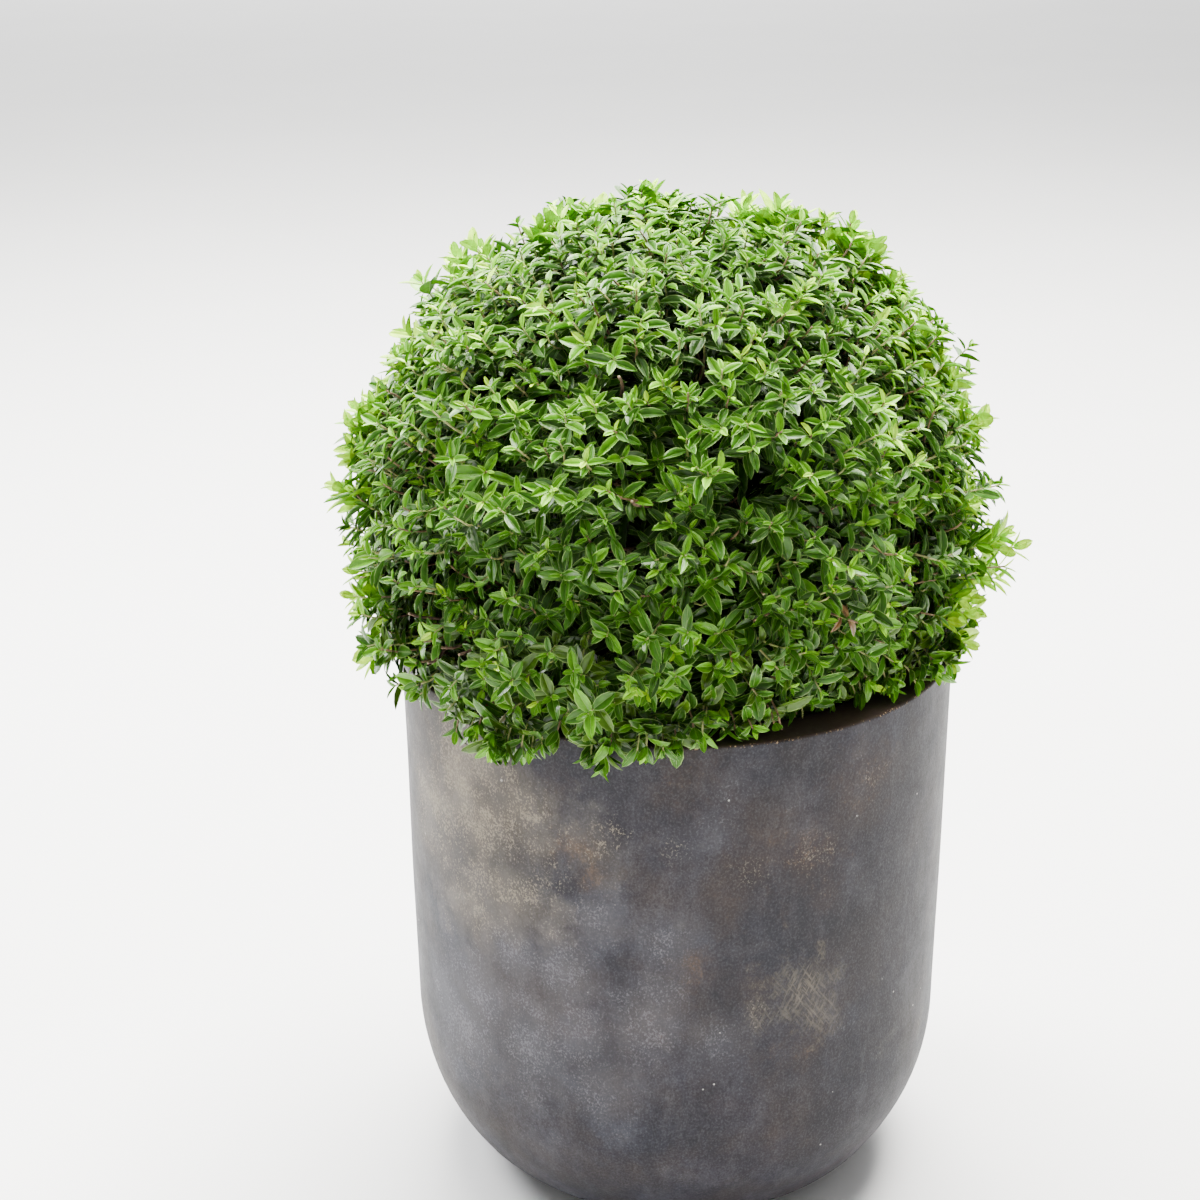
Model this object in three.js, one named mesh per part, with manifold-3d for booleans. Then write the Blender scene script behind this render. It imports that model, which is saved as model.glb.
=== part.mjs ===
// A shrubby honeysuckle clipped to a ball, standing in the round planter that it was grown on in.
// Millimetres, +Z up. The origin is the middle of the planter's flat underside, and -Y is the front.
import * as THREE from "three";
import { ConvexGeometry } from "three/addons/geometries/ConvexGeometry.js";
import { mergeVertices } from "three/addons/utils/BufferGeometryUtils.js";
import Module from "manifold-3d";

const wasm = await Module();
wasm.setup();

// The planter: a straight cylinder over a rounded bottom, with its rim turned in to a broad flat lip.
const POT_HEIGHT = 314;
const RIM_RADIUS = 150;
const SIDE_FOOT_RADIUS = 149;
const BOTTOM_CURVE_WIDTH = 72;
const BOTTOM_CURVE_HEIGHT = 100;
const WALL = 11;
const FLOOR = 14;
const LIP_WIDTH = 22;
const LIP_DEPTH = 16;
const LIP_EDGE = 1.6;
const POT_SEGMENTS = 44;
const OUTSIDE_STEPS = 8;
const INSIDE_STEPS = 3;

// The compost fills the planter to just under the lip, and is heaped a little round the stem.
const COMPOST_TOP = 290;
const COMPOST_HEAP = 3;
const HEAP_RADIUS = 37;

// The crown is an ellipsoid above its widest level and fuller below it, where it comes down over the
// rim all round. The fullness is the exponent of the outline, which is 2 on an ellipse.
const CROWN_CENTRE = new THREE.Vector3(-5, 0, POT_HEIGHT + 86);
const CROWN_RADIUS = 163;
const CROWN_HALF_HEIGHT = 146;
const LOWER_FULLNESS = 2.6;
const TOP_POLAR = THREE.MathUtils.degToRad(43);
const LOWEST_POLAR = THREE.MathUtils.degToRad(108);

// It is less full at the front right, where the lip shows, and fuller at the front left. Each place is
// given by its degrees round from +X, the degrees that it spreads either way, and the change there.
const LIP_SHOWS = { azimuth: -54, spread: 26, change: -0.6 };
const OVERHANG = { azimuth: -150, spread: 34, change: 0.5 };

// The dense core inside the leaves is hollow round the limbs and goes down into the planter's mouth.
// Its outside is lumpy: the lumps are counted round it, and down from the top to the bottom.
const CORE_OUTER = 0.84;
const CORE_INNER = 0.5;
const CORE_LOWEST_POLAR = THREE.MathUtils.degToRad(141);
const CORE_SEGMENTS = 18;
const CORE_RINGS = 5;
const CORE_LUMP = 0.03;
const LUMPS_ROUND = 5;
const LUMPS_DOWN = 6;

// The woody frame: one short leaning stem through the middle, and a bough to each side mass.
const STEM_RADIUS = 8;
const STEM_TIP_RADIUS = 4;
const ROOT_FLARE = 7;
const ROOT_FLARE_HEIGHT = 9;
const STEM_LEAN = 7;
const BOUGH_RADIUS = 4.6;
const BOUGH_TIP_RADIUS = 2.8;
const LOWEST_BOUGH = 14;
const BOUGH_SPACING = 11;
const BOUGH_END_POLAR = THREE.MathUtils.degToRad(84);
const MASS_STEM_REACH = 9;
const STEM_SIDES = 10;
const STEM_RINGS = 10;
const BOUGH_SIDES = 6;
const BOUGH_RINGS = 6;

// Shoots and leaves. The leaves are about twice life size, for there are far fewer of them. The jitter
// of a shoot is in radians, and its reach and foot are shares of the crown's own radius there.
const SHOOTS = 114;
const SHOOT_JITTER = 0.035;
const REACH_JITTER = 0.045;
const TWIG_FOOT = 0.79;
const TWIG_RADIUS = 2.5;
const TWIG_TIP_RADIUS = 2;
const UPWARD_TURN = 0.22;
const LEAF_LENGTH = 35;
const LEAF_WIDTH = 16;
const LEAF_WIDEST = 0.47;
const LEAF_THICKNESS = 1.8;
const LEAF_FOLD = 0.9;
const LEAF_SUNK = 0.4;
const TURN_JITTER = 0.2;
const LEAN_JITTER = 0.12;
const SEED = 25;

// Leaves of different shoots stay this far apart along their midribs. A leaf that has no room is tried
// again: each try gives its share of the full length, and how far it is raised and turned in radians.
const LEAF_APART = 9;
const MIDRIB_MARKS = [0.25, 0.5, 0.75, 1];
const LEAF_TRIES = [
  [1, 0, 0], [1, -0.2, 0.3], [1, -0.2, -0.3], [0.9, -0.3, 0.6], [0.9, -0.3, -0.6], [0.75, -0.1, 0],
  [0.75, -0.4, 0.4], [0.75, -0.4, -0.4], [0.7, -0.6, 0.9], [0.7, -0.6, -0.9],
];

// Solids that meet keep this gap, which is doubled round the compost, where curved walls are faceted.
// Leaves keep a wider one from the sides of their mass's space, and wider still from its cone.
const GAP = 0.3;
const COMPOST_GAP = 0.6;
const LEAF_CLEAR = 0.4;
const CONE_CLEAR = 0.8;
const SEAM_INSET = 9;
const POT_CLEAR = 1.2;
const MARK_STEPS = 8;

// Side masses and boughs, named by the side of the plant that they are on.
const SIDES = ["front", "front_right", "back_right", "back", "back_left", "front_left"];
const SECTOR = (2 * Math.PI) / SIDES.length;
const FRONT_AZIMUTH = -Math.PI / 2;

// Long stray shoots that stand out of the clipped outline: the degrees round from +X, the degrees down
// from the top, and how far the tip reaches as a share of the crown's own radius there.
const STRAY_SHOOTS = [
  { azimuth: -15, polar: 94, reach: 1.15 },
  { azimuth: -168, polar: 87, reach: 1.12 },
  { azimuth: 110, polar: 12, reach: 1.07 },
  { azimuth: 12, polar: 34, reach: 1.12 },
  { azimuth: 168, polar: 44, reach: 1.08 },
  { azimuth: 55, polar: 78, reach: 1.08 },
  { azimuth: 128, polar: 92, reach: 1.07 },
  { azimuth: -60, polar: 60, reach: 1.04 },
];

// Shoots of the lowest fringe that lie out over the rim at the front left and hang down outside it:
// the degrees round from +X, the tip's distance from the planter's axis, and its height over the rim.
const FRINGE_SHOOTS = [
  { azimuth: -166, distance: 161, height: 21 },
  { azimuth: -155, distance: 162, height: 13 },
  { azimuth: -143, distance: 157, height: 13 },
  { azimuth: -133, distance: 155, height: 6 },
  { azimuth: -125, distance: 155, height: 3 },
  { azimuth: -113, distance: 154, height: 8 },
  { azimuth: -99, distance: 153, height: 9 },
  { azimuth: -22, distance: 154, height: 14 },
];
const FRINGE_FOOT_POLAR = THREE.MathUtils.degToRad(108);

// Round the right side, the back and the left the fringe lies on the rim at even steps.
const BACK_FRINGE = { from: -4, to: 178, step: 14, distance: 155, height: 12, jitter: 5 };

const FOLIAGE_LOOK = { color: 0x4f8430, roughness: 0.5 };
const BARK_LOOK = { color: 0x6d5138, roughness: 0.85 };
const FIBRE_CLAY_LOOK = { color: 0x4c4b4d, roughness: 0.6 };
const COMPOST_LOOK = { color: 0x2c2018, roughness: 0.95 };

// A small seeded generator, so that the plant grows the same way each time: a state that steps on
// round 32 bits, and a hash of it.
const STATE_STEP = 0x6d2b79f5;
const STATE_RANGE = 2 ** 32;

function seeded(seed) {
  let state = seed >>> 0;
  return function next() {
    state = (state + STATE_STEP) >>> 0;
    let mixed = Math.imul(state ^ (state >>> 15), state | 1);
    mixed ^= mixed + Math.imul(mixed ^ (mixed >>> 7), mixed | 61);
    return ((mixed ^ (mixed >>> 14)) >>> 0) / STATE_RANGE;
  };
}

function spread(random, amount) {
  return (2 * random() - 1) * amount;
}

// Closed geometry to a solid, and back to plain faceted geometry.
const WELD_DISTANCE = 1e-4;

function toSolid(geometry) {
  const bare = geometry.clone();
  bare.deleteAttribute("normal");
  bare.deleteAttribute("uv");
  const welded = mergeVertices(bare, WELD_DISTANCE);
  return new wasm.Manifold(new wasm.Mesh({
    numProp: 3,
    vertProperties: new Float32Array(welded.attributes.position.array),
    triVerts: new Uint32Array(welded.index.array),
  }));
}

function toGeometry(solid) {
  const mesh = solid.getMesh();
  const geometry = new THREE.BufferGeometry();
  geometry.setAttribute("position", new THREE.BufferAttribute(new Float32Array(mesh.vertProperties), 3));
  geometry.setIndex(new THREE.BufferAttribute(new Uint32Array(mesh.triVerts), 1));
  geometry.computeVertexNormals();
  return geometry;
}

// The largest closed shell of a joined solid: a sealed hollow is filled and a loose scrap dropped.
function wholeBody(solid) {
  return solid.decompose().reduce((a, b) => (a.volume() > b.volume() ? a : b));
}

function namedMesh(name, geometry, look) {
  const material = new THREE.MeshStandardMaterial({ ...look, metalness: 0, flatShading: true });
  const mesh = new THREE.Mesh(geometry, material);
  mesh.name = name;
  return mesh;
}

// Points of a quarter ellipse, from straight below its centre round to level with it.
function bottomCurve(centreRadius, centreHeight, width, height, steps) {
  return Array.from({ length: steps + 1 }, (_, i) => {
    const turn = (i / steps) * (Math.PI / 2);
    return new THREE.Vector2(centreRadius + width * Math.sin(turn), centreHeight - height * Math.cos(turn));
  });
}

// A closed solid turned from a profile that starts and ends on the axis.
function turned(profile, segments) {
  const geometry = new THREE.LatheGeometry(profile, segments);
  geometry.rotateX(Math.PI / 2);
  return geometry;
}

function potProfile() {
  const curveCentre = SIDE_FOOT_RADIUS - BOTTOM_CURVE_WIDTH;
  const insideRadius = RIM_RADIUS - WALL;
  const mouthRadius = RIM_RADIUS - LIP_WIDTH;
  const outside = bottomCurve(
    curveCentre, BOTTOM_CURVE_HEIGHT, BOTTOM_CURVE_WIDTH, BOTTOM_CURVE_HEIGHT, OUTSIDE_STEPS,
  );
  const inside = bottomCurve(
    curveCentre, BOTTOM_CURVE_HEIGHT, BOTTOM_CURVE_WIDTH - WALL, BOTTOM_CURVE_HEIGHT - FLOOR, INSIDE_STEPS,
  );
  return [
    new THREE.Vector2(0, 0),
    ...outside,
    new THREE.Vector2(RIM_RADIUS, POT_HEIGHT - LIP_EDGE),
    new THREE.Vector2(RIM_RADIUS - LIP_EDGE, POT_HEIGHT),
    new THREE.Vector2(mouthRadius + LIP_EDGE, POT_HEIGHT),
    new THREE.Vector2(mouthRadius, POT_HEIGHT - LIP_EDGE),
    new THREE.Vector2(mouthRadius, POT_HEIGHT - LIP_DEPTH),
    new THREE.Vector2(insideRadius, POT_HEIGHT - LIP_DEPTH - (LIP_WIDTH - WALL) / 2),
    ...inside.reverse(),
    new THREE.Vector2(0, FLOOR),
  ];
}

// The compost keeps a gap to the wall and floor all round.
function compostProfile() {
  const curveCentre = SIDE_FOOT_RADIUS - BOTTOM_CURVE_WIDTH;
  const fromWall = WALL + COMPOST_GAP;
  const fromFloor = FLOOR + COMPOST_GAP;
  const curveWidth = BOTTOM_CURVE_WIDTH - fromWall;
  const curveHeight = BOTTOM_CURVE_HEIGHT - fromFloor;
  const side = bottomCurve(curveCentre, BOTTOM_CURVE_HEIGHT, curveWidth, curveHeight, INSIDE_STEPS);
  return [
    new THREE.Vector2(0, fromFloor),
    ...side,
    new THREE.Vector2(RIM_RADIUS - fromWall, COMPOST_TOP - COMPOST_HEAP),
    new THREE.Vector2(HEAP_RADIUS, COMPOST_TOP),
    new THREE.Vector2(0, COMPOST_TOP),
  ];
}

function angleBetween(a, b) {
  return Math.atan2(Math.sin(a - b), Math.cos(a - b));
}

function fullness(polar, azimuth) {
  if (polar < Math.PI / 2) {
    return 2;
  }
  return [LIP_SHOWS, OVERHANG].reduce((sum, place) => {
    const away = angleBetween(azimuth, THREE.MathUtils.degToRad(place.azimuth));
    const share = away / THREE.MathUtils.degToRad(place.spread);
    return sum + place.change * Math.exp(-share * share);
  }, LOWER_FULLNESS);
}

// The outline of the crown as shares of its radius and half height, by the polar angle from the top.
function outline(polar, exponent) {
  return {
    level: Math.sin(polar) ** (2 / exponent),
    rise: Math.sign(Math.cos(polar)) * Math.abs(Math.cos(polar)) ** (2 / exponent),
  };
}

// A point of the crown by its polar angle, its azimuth from +X, and its reach.
function crownPoint(polar, azimuth, reach) {
  const { level, rise } = outline(polar, fullness(polar, azimuth));
  return new THREE.Vector3(
    CROWN_CENTRE.x + reach * CROWN_RADIUS * level * Math.cos(azimuth),
    CROWN_CENTRE.y + reach * CROWN_RADIUS * level * Math.sin(azimuth),
    CROWN_CENTRE.z + reach * CROWN_HALF_HEIGHT * rise,
  );
}

function crownOutward(polar, azimuth) {
  const exponent = fullness(polar, azimuth);
  const { level, rise } = outline(polar, exponent);
  const across = level ** (exponent - 1) / CROWN_RADIUS;
  const upward = (Math.sign(rise) * Math.abs(rise) ** (exponent - 1)) / CROWN_HALF_HEIGHT;
  return new THREE.Vector3(across * Math.cos(azimuth), across * Math.sin(azimuth), upward).normalize();
}

function sideAzimuth(side) {
  return FRONT_AZIMUTH + side * SECTOR;
}

// A tapering round limb along a curve: a cylinder whose rings are set across the curve.
function limb(curve, radiusAt, sides, rings) {
  const geometry = new THREE.CylinderGeometry(1, 1, 1, sides, rings);
  const frames = curve.computeFrenetFrames(rings, false);
  const position = geometry.attributes.position;
  const vertex = new THREE.Vector3();
  for (let i = 0; i < position.count; i += 1) {
    vertex.fromBufferAttribute(position, i);
    const along = vertex.y + 0.5;
    const ring = Math.round(along * rings);
    const radius = radiusAt(along);
    const placed = curve.getPointAt(along)
      .addScaledVector(frames.normals[ring], -radius * vertex.x)
      .addScaledVector(frames.binormals[ring], radius * vertex.z);
    position.setXYZ(i, placed.x, placed.y, placed.z);
  }
  return geometry;
}

// The stem rises straight from a flat foot, leans a little and runs up to the top mass. A wider copy
// cuts the boughs clear of it.
const stemFoot = new THREE.Vector3(0, 0, COMPOST_TOP + GAP);
const stemTip = crownPoint(0, 0, CORE_INNER).add(new THREE.Vector3(0, 0, -MASS_STEM_REACH));
const stemRise = (stemTip.z - stemFoot.z) / 3;
const stemCurve = new THREE.CubicBezierCurve3(
  stemFoot,
  new THREE.Vector3(0, 0, stemFoot.z + stemRise),
  new THREE.Vector3(STEM_LEAN, STEM_LEAN / 2, stemTip.z - stemRise),
  stemTip,
);

function stemRadius(along) {
  const height = along * (stemTip.z - stemFoot.z);
  const flare = ROOT_FLARE * Math.exp(-height / ROOT_FLARE_HEIGHT);
  return THREE.MathUtils.lerp(STEM_RADIUS, STEM_TIP_RADIUS, along) + flare;
}

const stemGeometry = limb(stemCurve, stemRadius, STEM_SIDES, STEM_RINGS);
const stemWithGap = toSolid(limb(stemCurve, (along) => stemRadius(along) + GAP, STEM_SIDES, STEM_RINGS));

// Each bough leaves the stem a little higher than the last and bends out to its mass's inner face.
function boughCurve(side) {
  const azimuth = sideAzimuth(side);
  const outward = new THREE.Vector3(Math.cos(azimuth), Math.sin(azimuth), 0);
  const order = (side * 2) % SIDES.length + Math.floor((side * 2) / SIDES.length);
  const rise = LOWEST_BOUGH + order * BOUGH_SPACING;
  const along = rise / (stemTip.z - stemFoot.z);
  const start = stemCurve.getPointAt(along);
  const innerFace = crownPoint(BOUGH_END_POLAR, azimuth, CORE_INNER);
  const end = innerFace.addScaledVector(outward, -MASS_STEM_REACH);
  const bend = start.clone().lerp(end, 0.5).add(new THREE.Vector3(0, 0, -BOUGH_SPACING));
  return new THREE.QuadraticBezierCurve3(start, bend, end);
}

function boughRadius(along) {
  return THREE.MathUtils.lerp(BOUGH_RADIUS, BOUGH_TIP_RADIUS, along);
}

function boughSolid(side) {
  return toSolid(limb(boughCurve(side), boughRadius, BOUGH_SIDES, BOUGH_RINGS)).subtract(stemWithGap);
}

// The stub that a mass stands on: it begins a gap beyond the limb's tip and runs into the core.
function massStem(curve, tipRadius) {
  const tip = curve.getPointAt(1);
  const heading = curve.getTangentAt(1);
  const start = tip.clone().addScaledVector(heading, GAP);
  const end = tip.clone().addScaledVector(heading, 2 * MASS_STEM_REACH);
  return toSolid(limb(new THREE.LineCurve3(start, end), () => tipRadius, BOUGH_SIDES, 1));
}

// The dense core of the whole crown, before it is shared out among the masses.
function coreShell(fromPolar, toPolar) {
  const ringAt = (polar, share) => {
    const { level, rise } = outline(polar, polar < Math.PI / 2 ? 2 : LOWER_FULLNESS);
    return new THREE.Vector2(share * CROWN_RADIUS * level, share * CROWN_HALF_HEIGHT * rise);
  };
  const steps = Array.from({ length: CORE_RINGS + 1 }, (_, i) => i / CORE_RINGS);
  const profile = [
    ...steps.map((step) => ringAt(THREE.MathUtils.lerp(fromPolar, toPolar, step), CORE_INNER)),
    ...steps.map((step) => ringAt(THREE.MathUtils.lerp(toPolar, fromPolar, step), CORE_OUTER)),
  ];
  if (fromPolar > 0) {
    profile.push(profile[0].clone());
  }
  const shell = turned(profile, CORE_SEGMENTS);
  const position = shell.attributes.position;
  const vertex = new THREE.Vector3();
  for (let i = 0; i < position.count; i += 1) {
    const isOutside = i % profile.length > CORE_RINGS && i % profile.length < 2 * steps.length;
    vertex.fromBufferAttribute(position, i);
    vertex.multiplyScalar(isOutside ? 1 + lump(vertex) : 1).add(CROWN_CENTRE);
    position.setXYZ(i, vertex.x, vertex.y, vertex.z);
  }
  return toSolid(shell);
}

// How far a lump stands out at a point of the core, as a share of the point's distance from its middle.
function lump(point) {
  const azimuth = Math.atan2(point.y, point.x);
  const polar = Math.atan2(Math.hypot(point.x, point.y), point.z);
  return CORE_LUMP * Math.sin(polar) * Math.cos(LUMPS_ROUND * azimuth) * Math.cos(LUMPS_DOWN * polar);
}

// A pie slice as tall as the crown, a gap narrower than its sector.
function sectorPrism(side) {
  const azimuth = sideAzimuth(side);
  const far = 2 * CROWN_RADIUS;
  const corner = (angle) => new THREE.Vector2(far * Math.cos(angle), far * Math.sin(angle));
  const apex = new THREE.Vector2(GAP * Math.cos(azimuth), GAP * Math.sin(azimuth))
    .divideScalar(Math.sin(SECTOR / 2));
  const slice = new THREE.Shape([
    apex,
    corner(azimuth - SECTOR / 2).add(apex),
    corner(azimuth + SECTOR / 2).add(apex),
  ]);
  const prism = new THREE.ExtrudeGeometry(slice, { depth: 2 * CROWN_HALF_HEIGHT, bevelEnabled: false });
  prism.translate(CROWN_CENTRE.x, CROWN_CENTRE.y, CROWN_CENTRE.z - CROWN_HALF_HEIGHT);
  return toSolid(prism);
}

// Whether a leaf or twig, given by its corners, lies in the space of one mass and clear of the pot.
function inSpace(corners, place) {
  return marksBetween(corners).every((mark) => isClearOfPot(mark) && isInSector(mark, place));
}

// The corners and the points between each two of them, close enough to find a rim that cuts between.
function marksBetween(corners) {
  const marks = [...corners];
  corners.forEach((a, i) => corners.slice(i + 1).forEach((b) => {
    for (let step = 1; step < MARK_STEPS; step += 1) {
      marks.push(a.clone().lerp(b, step / MARK_STEPS));
    }
  }));
  return marks;
}

function isClearOfPot(point) {
  const fromAxis = Math.hypot(point.x, point.y);
  const inMouth = fromAxis < RIM_RADIUS - LIP_WIDTH - POT_CLEAR && point.z > COMPOST_TOP + POT_CLEAR;
  return point.z > POT_HEIGHT + POT_CLEAR || fromAxis > RIM_RADIUS + POT_CLEAR || inMouth;
}

function isInSector(point, place) {
  const local = point.clone().sub(CROWN_CENTRE);
  const level = Math.hypot(local.x, local.y);
  const polar = Math.atan2(level / CROWN_RADIUS, local.z / CROWN_HALF_HEIGHT);
  const fromCone = local.length() * Math.sin(polar - TOP_POLAR);
  if (place === SIDES.length) {
    return fromCone < -LEAF_CLEAR;
  }
  const turn = Math.abs(angleBetween(Math.atan2(local.y, local.x), sideAzimuth(place)));
  return fromCone > CONE_CLEAR && turn < SECTOR / 2 && level * Math.sin(SECTOR / 2 - turn) > LEAF_CLEAR;
}

function massAt(polar, azimuth) {
  if (polar < TOP_POLAR) {
    return SIDES.length;
  }
  const turn = (azimuth - FRONT_AZIMUTH + SECTOR / 2) / SECTOR;
  return ((Math.floor(turn) % SIDES.length) + SIDES.length) % SIDES.length;
}

// A shoot near the side of its space is drawn in a little, so that it keeps its leaves.
function drawnIn(shoot) {
  const level = CROWN_RADIUS * Math.sin(shoot.polar);
  const inset = SEAM_INSET / CROWN_RADIUS;
  if (shoot.mass === SIDES.length) {
    return { ...shoot, polar: Math.min(shoot.polar, TOP_POLAR - inset) };
  }
  const widest = SECTOR / 2 - SEAM_INSET / level;
  const turn = angleBetween(shoot.azimuth, sideAzimuth(shoot.mass));
  return {
    ...shoot,
    polar: Math.max(shoot.polar, TOP_POLAR + inset),
    azimuth: sideAzimuth(shoot.mass) + THREE.MathUtils.clamp(turn, -widest, widest),
  };
}

// A leaf along +X with its face up: flat underneath across its widest place, and ridged on top.
function leafGeometry(length) {
  const halfWidth = (LEAF_WIDTH * length) / LEAF_LENGTH / 2;
  const widest = LEAF_WIDEST * length;
  return new ConvexGeometry([
    new THREE.Vector3(-LEAF_SUNK, 0, 0),
    new THREE.Vector3(length, 0, 0),
    new THREE.Vector3(widest, halfWidth, LEAF_FOLD),
    new THREE.Vector3(widest, -halfWidth, LEAF_FOLD),
    new THREE.Vector3(widest, 0, LEAF_THICKNESS),
  ]);
}

// A straight three-sided twig, a little thinner at its tip.
function twigGeometry(foot, tip) {
  const heading = tip.clone().sub(foot).normalize();
  const side = new THREE.Vector3(0, 0, 1).cross(heading).normalize();
  const corners = [0, 1, 2].map((i) => side.clone().applyAxisAngle(heading, (i * 2 * Math.PI) / 3));
  return new ConvexGeometry([
    ...corners.map((corner) => foot.clone().addScaledVector(corner, TWIG_RADIUS)),
    ...corners.map((corner) => tip.clone().addScaledVector(corner, TWIG_TIP_RADIUS)),
  ]);
}

function cornersOf(geometry) {
  const bare = mergeVertices(geometry.clone().deleteAttribute("normal"));
  const position = bare.attributes.position;
  const corner = (i) => new THREE.Vector3().fromBufferAttribute(position, i);
  return Array.from({ length: position.count }, (_, i) => corner(i));
}

// Points along a leaf's midrib, by which leaves of different shoots are kept from crossing.
function midribPoints(node, along, length) {
  return MIDRIB_MARKS.map((mark) => node.clone().addScaledVector(along, mark * length));
}

function isFree(midrib, leaves) {
  return leaves.every((other) => other.every((q) => midrib.every((p) => p.distanceTo(q) > LEAF_APART)));
}

// A leaf at a node of a twig leans away from it, and is turned, raised or shortened where it must be.
function grownLeaf(node, heading, turn, lean, size, mass) {
  const side = new THREE.Vector3(0, 0, 1).cross(heading).normalize();
  for (const [shorter, raised, turned] of LEAF_TRIES) {
    const across = side.clone().applyAxisAngle(heading, turn + turned);
    const angle = lean + raised;
    const length = LEAF_LENGTH * size * shorter;
    const along = heading.clone().multiplyScalar(Math.cos(angle)).addScaledVector(across, Math.sin(angle));
    const face = heading.clone().multiplyScalar(Math.sin(angle)).addScaledVector(across, -Math.cos(angle));
    const placed = new THREE.Matrix4().makeBasis(along, face.clone().cross(along), face).setPosition(node);
    const leaf = leafGeometry(length).applyMatrix4(placed);
    const midrib = midribPoints(node, along, length);
    if (inSpace(cornersOf(leaf), mass.place) && isFree(midrib, mass.leaves)) {
      return { solid: toSolid(leaf), midrib };
    }
  }
  return null;
}

// A three-sided twig with its leaves in crossed pairs, each pair turned square to the one below it.
function grownShoot(foot, tip, pairs, mass) {
  const heading = tip.clone().sub(foot).normalize();
  const length = foot.distanceTo(tip);
  const twig = twigGeometry(foot, tip);
  if (!inSpace(cornersOf(twig), mass.place)) {
    return;
  }
  const ownLeaves = [];
  const firstTurn = mass.random() * Math.PI;
  pairs.forEach(([along, lean, size], level) => {
    const node = foot.clone().addScaledVector(heading, along * length);
    for (const half of [0, 1]) {
      const turn = firstTurn + (level * Math.PI) / 2 + half * Math.PI + spread(mass.random, TURN_JITTER);
      const leaf = grownLeaf(node, heading, turn, lean + spread(mass.random, LEAN_JITTER), size, mass);
      if (leaf) {
        ownLeaves.push(leaf);
      }
    }
  });
  mass.solids.push(toSolid(twig), ...ownLeaves.map((leaf) => leaf.solid));
  mass.leaves.push(...ownLeaves.map((leaf) => leaf.midrib));
}

// Leaf pairs as their place along the twig, their lean off it in radians, and their size.
const CLIPPED_PAIRS = [[0.72, 1.3, 0.95], [0.97, 0.95, 1]];
const STRAY_PAIRS = [[0.45, 1.2, 0.95], [0.72, 0.95, 0.9], [0.98, 0.55, 0.75]];
const FRINGE_PAIRS = [[0.6, 1.1, 0.85], [0.97, 0.85, 0.85]];

// The twig ends short of the outline by what the leaves at its end reach beyond it.
function growShoot(polar, azimuth, reach, pairs, mass) {
  const [, lean, size] = pairs.at(-1);
  const outward = crownOutward(polar, azimuth);
  const heading = outward.clone().add(new THREE.Vector3(0, 0, UPWARD_TURN * Math.sin(polar))).normalize();
  const leafReach = LEAF_LENGTH * size * Math.cos(lean);
  const tip = crownPoint(polar, azimuth, reach).addScaledVector(heading, -leafReach);
  grownShoot(crownPoint(polar, azimuth, TWIG_FOOT), tip, pairs, mass);
}

// The rule of growth: shoots a golden angle apart from the top down, each moved a little by chance.
function clippedShoots(random) {
  const goldenAngle = Math.PI * (3 - Math.sqrt(5));
  return Array.from({ length: SHOOTS }, (_, i) => {
    const drop = ((i + 0.5) / SHOOTS) * (1 - Math.cos(LOWEST_POLAR));
    const polar = Math.acos(1 - drop) + spread(random, SHOOT_JITTER);
    const azimuth = i * goldenAngle + spread(random, SHOOT_JITTER) / Math.sin(Math.acos(1 - drop));
    const reach = 1 + spread(random, REACH_JITTER);
    return drawnIn({ polar, azimuth, reach, mass: massAt(polar, azimuth) });
  });
}

function backFringe(random) {
  const count = Math.floor((BACK_FRINGE.to - BACK_FRINGE.from) / BACK_FRINGE.step) + 1;
  return Array.from({ length: count }, (_, i) => ({
    azimuth: BACK_FRINGE.from + i * BACK_FRINGE.step,
    distance: BACK_FRINGE.distance + spread(random, BACK_FRINGE.jitter),
    height: BACK_FRINGE.height + spread(random, BACK_FRINGE.jitter),
  }));
}

function growFringe(mass, fringeShoots) {
  for (const fringe of fringeShoots) {
    const azimuth = THREE.MathUtils.degToRad(fringe.azimuth);
    if (massAt(FRINGE_FOOT_POLAR, azimuth) === mass.place) {
      const tip = new THREE.Vector3(
        fringe.distance * Math.cos(azimuth), fringe.distance * Math.sin(azimuth), POT_HEIGHT + fringe.height,
      );
      grownShoot(crownPoint(FRINGE_FOOT_POLAR, azimuth, TWIG_FOOT), tip, FRINGE_PAIRS, mass);
    }
  }
}

function growStrays(mass) {
  for (const stray of STRAY_SHOOTS) {
    const polar = THREE.MathUtils.degToRad(stray.polar);
    const azimuth = THREE.MathUtils.degToRad(stray.azimuth);
    if (massAt(polar, azimuth) === mass.place) {
      growShoot(polar, azimuth, stray.reach, STRAY_PAIRS, mass);
    }
  }
}

// One mass of foliage: its stub and core, then the stray shoots, the fringe and the clipped shoots.
function massSolid(place, core, stub) {
  const mass = { place, random, solids: [core, stub], leaves: [] };
  growStrays(mass);
  growFringe(mass, fringeShoots);
  for (const shoot of shoots.filter((each) => each.mass === place)) {
    growShoot(shoot.polar, shoot.azimuth, shoot.reach, CLIPPED_PAIRS, mass);
  }
  return wholeBody(wasm.Manifold.union(mass.solids));
}

const random = seeded(SEED);
const shoots = clippedShoots(random);
const fringeShoots = [...FRINGE_SHOOTS, ...backFringe(random)];

// The top core's cone is narrower than the side cores' by an angle that leaves the gap at its inner end.
const sideShell = coreShell(TOP_POLAR, CORE_LOWEST_POLAR);
const topPolar = TOP_POLAR - (2 * GAP) / (CORE_INNER * CROWN_HALF_HEIGHT);

const group = new THREE.Group();
group.add(namedMesh("pot", turned(potProfile(), POT_SEGMENTS), FIBRE_CLAY_LOOK));
group.add(namedMesh("root_ball", turned(compostProfile(), POT_SEGMENTS), COMPOST_LOOK));
group.add(namedMesh("stem", stemGeometry, BARK_LOOK));

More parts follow.
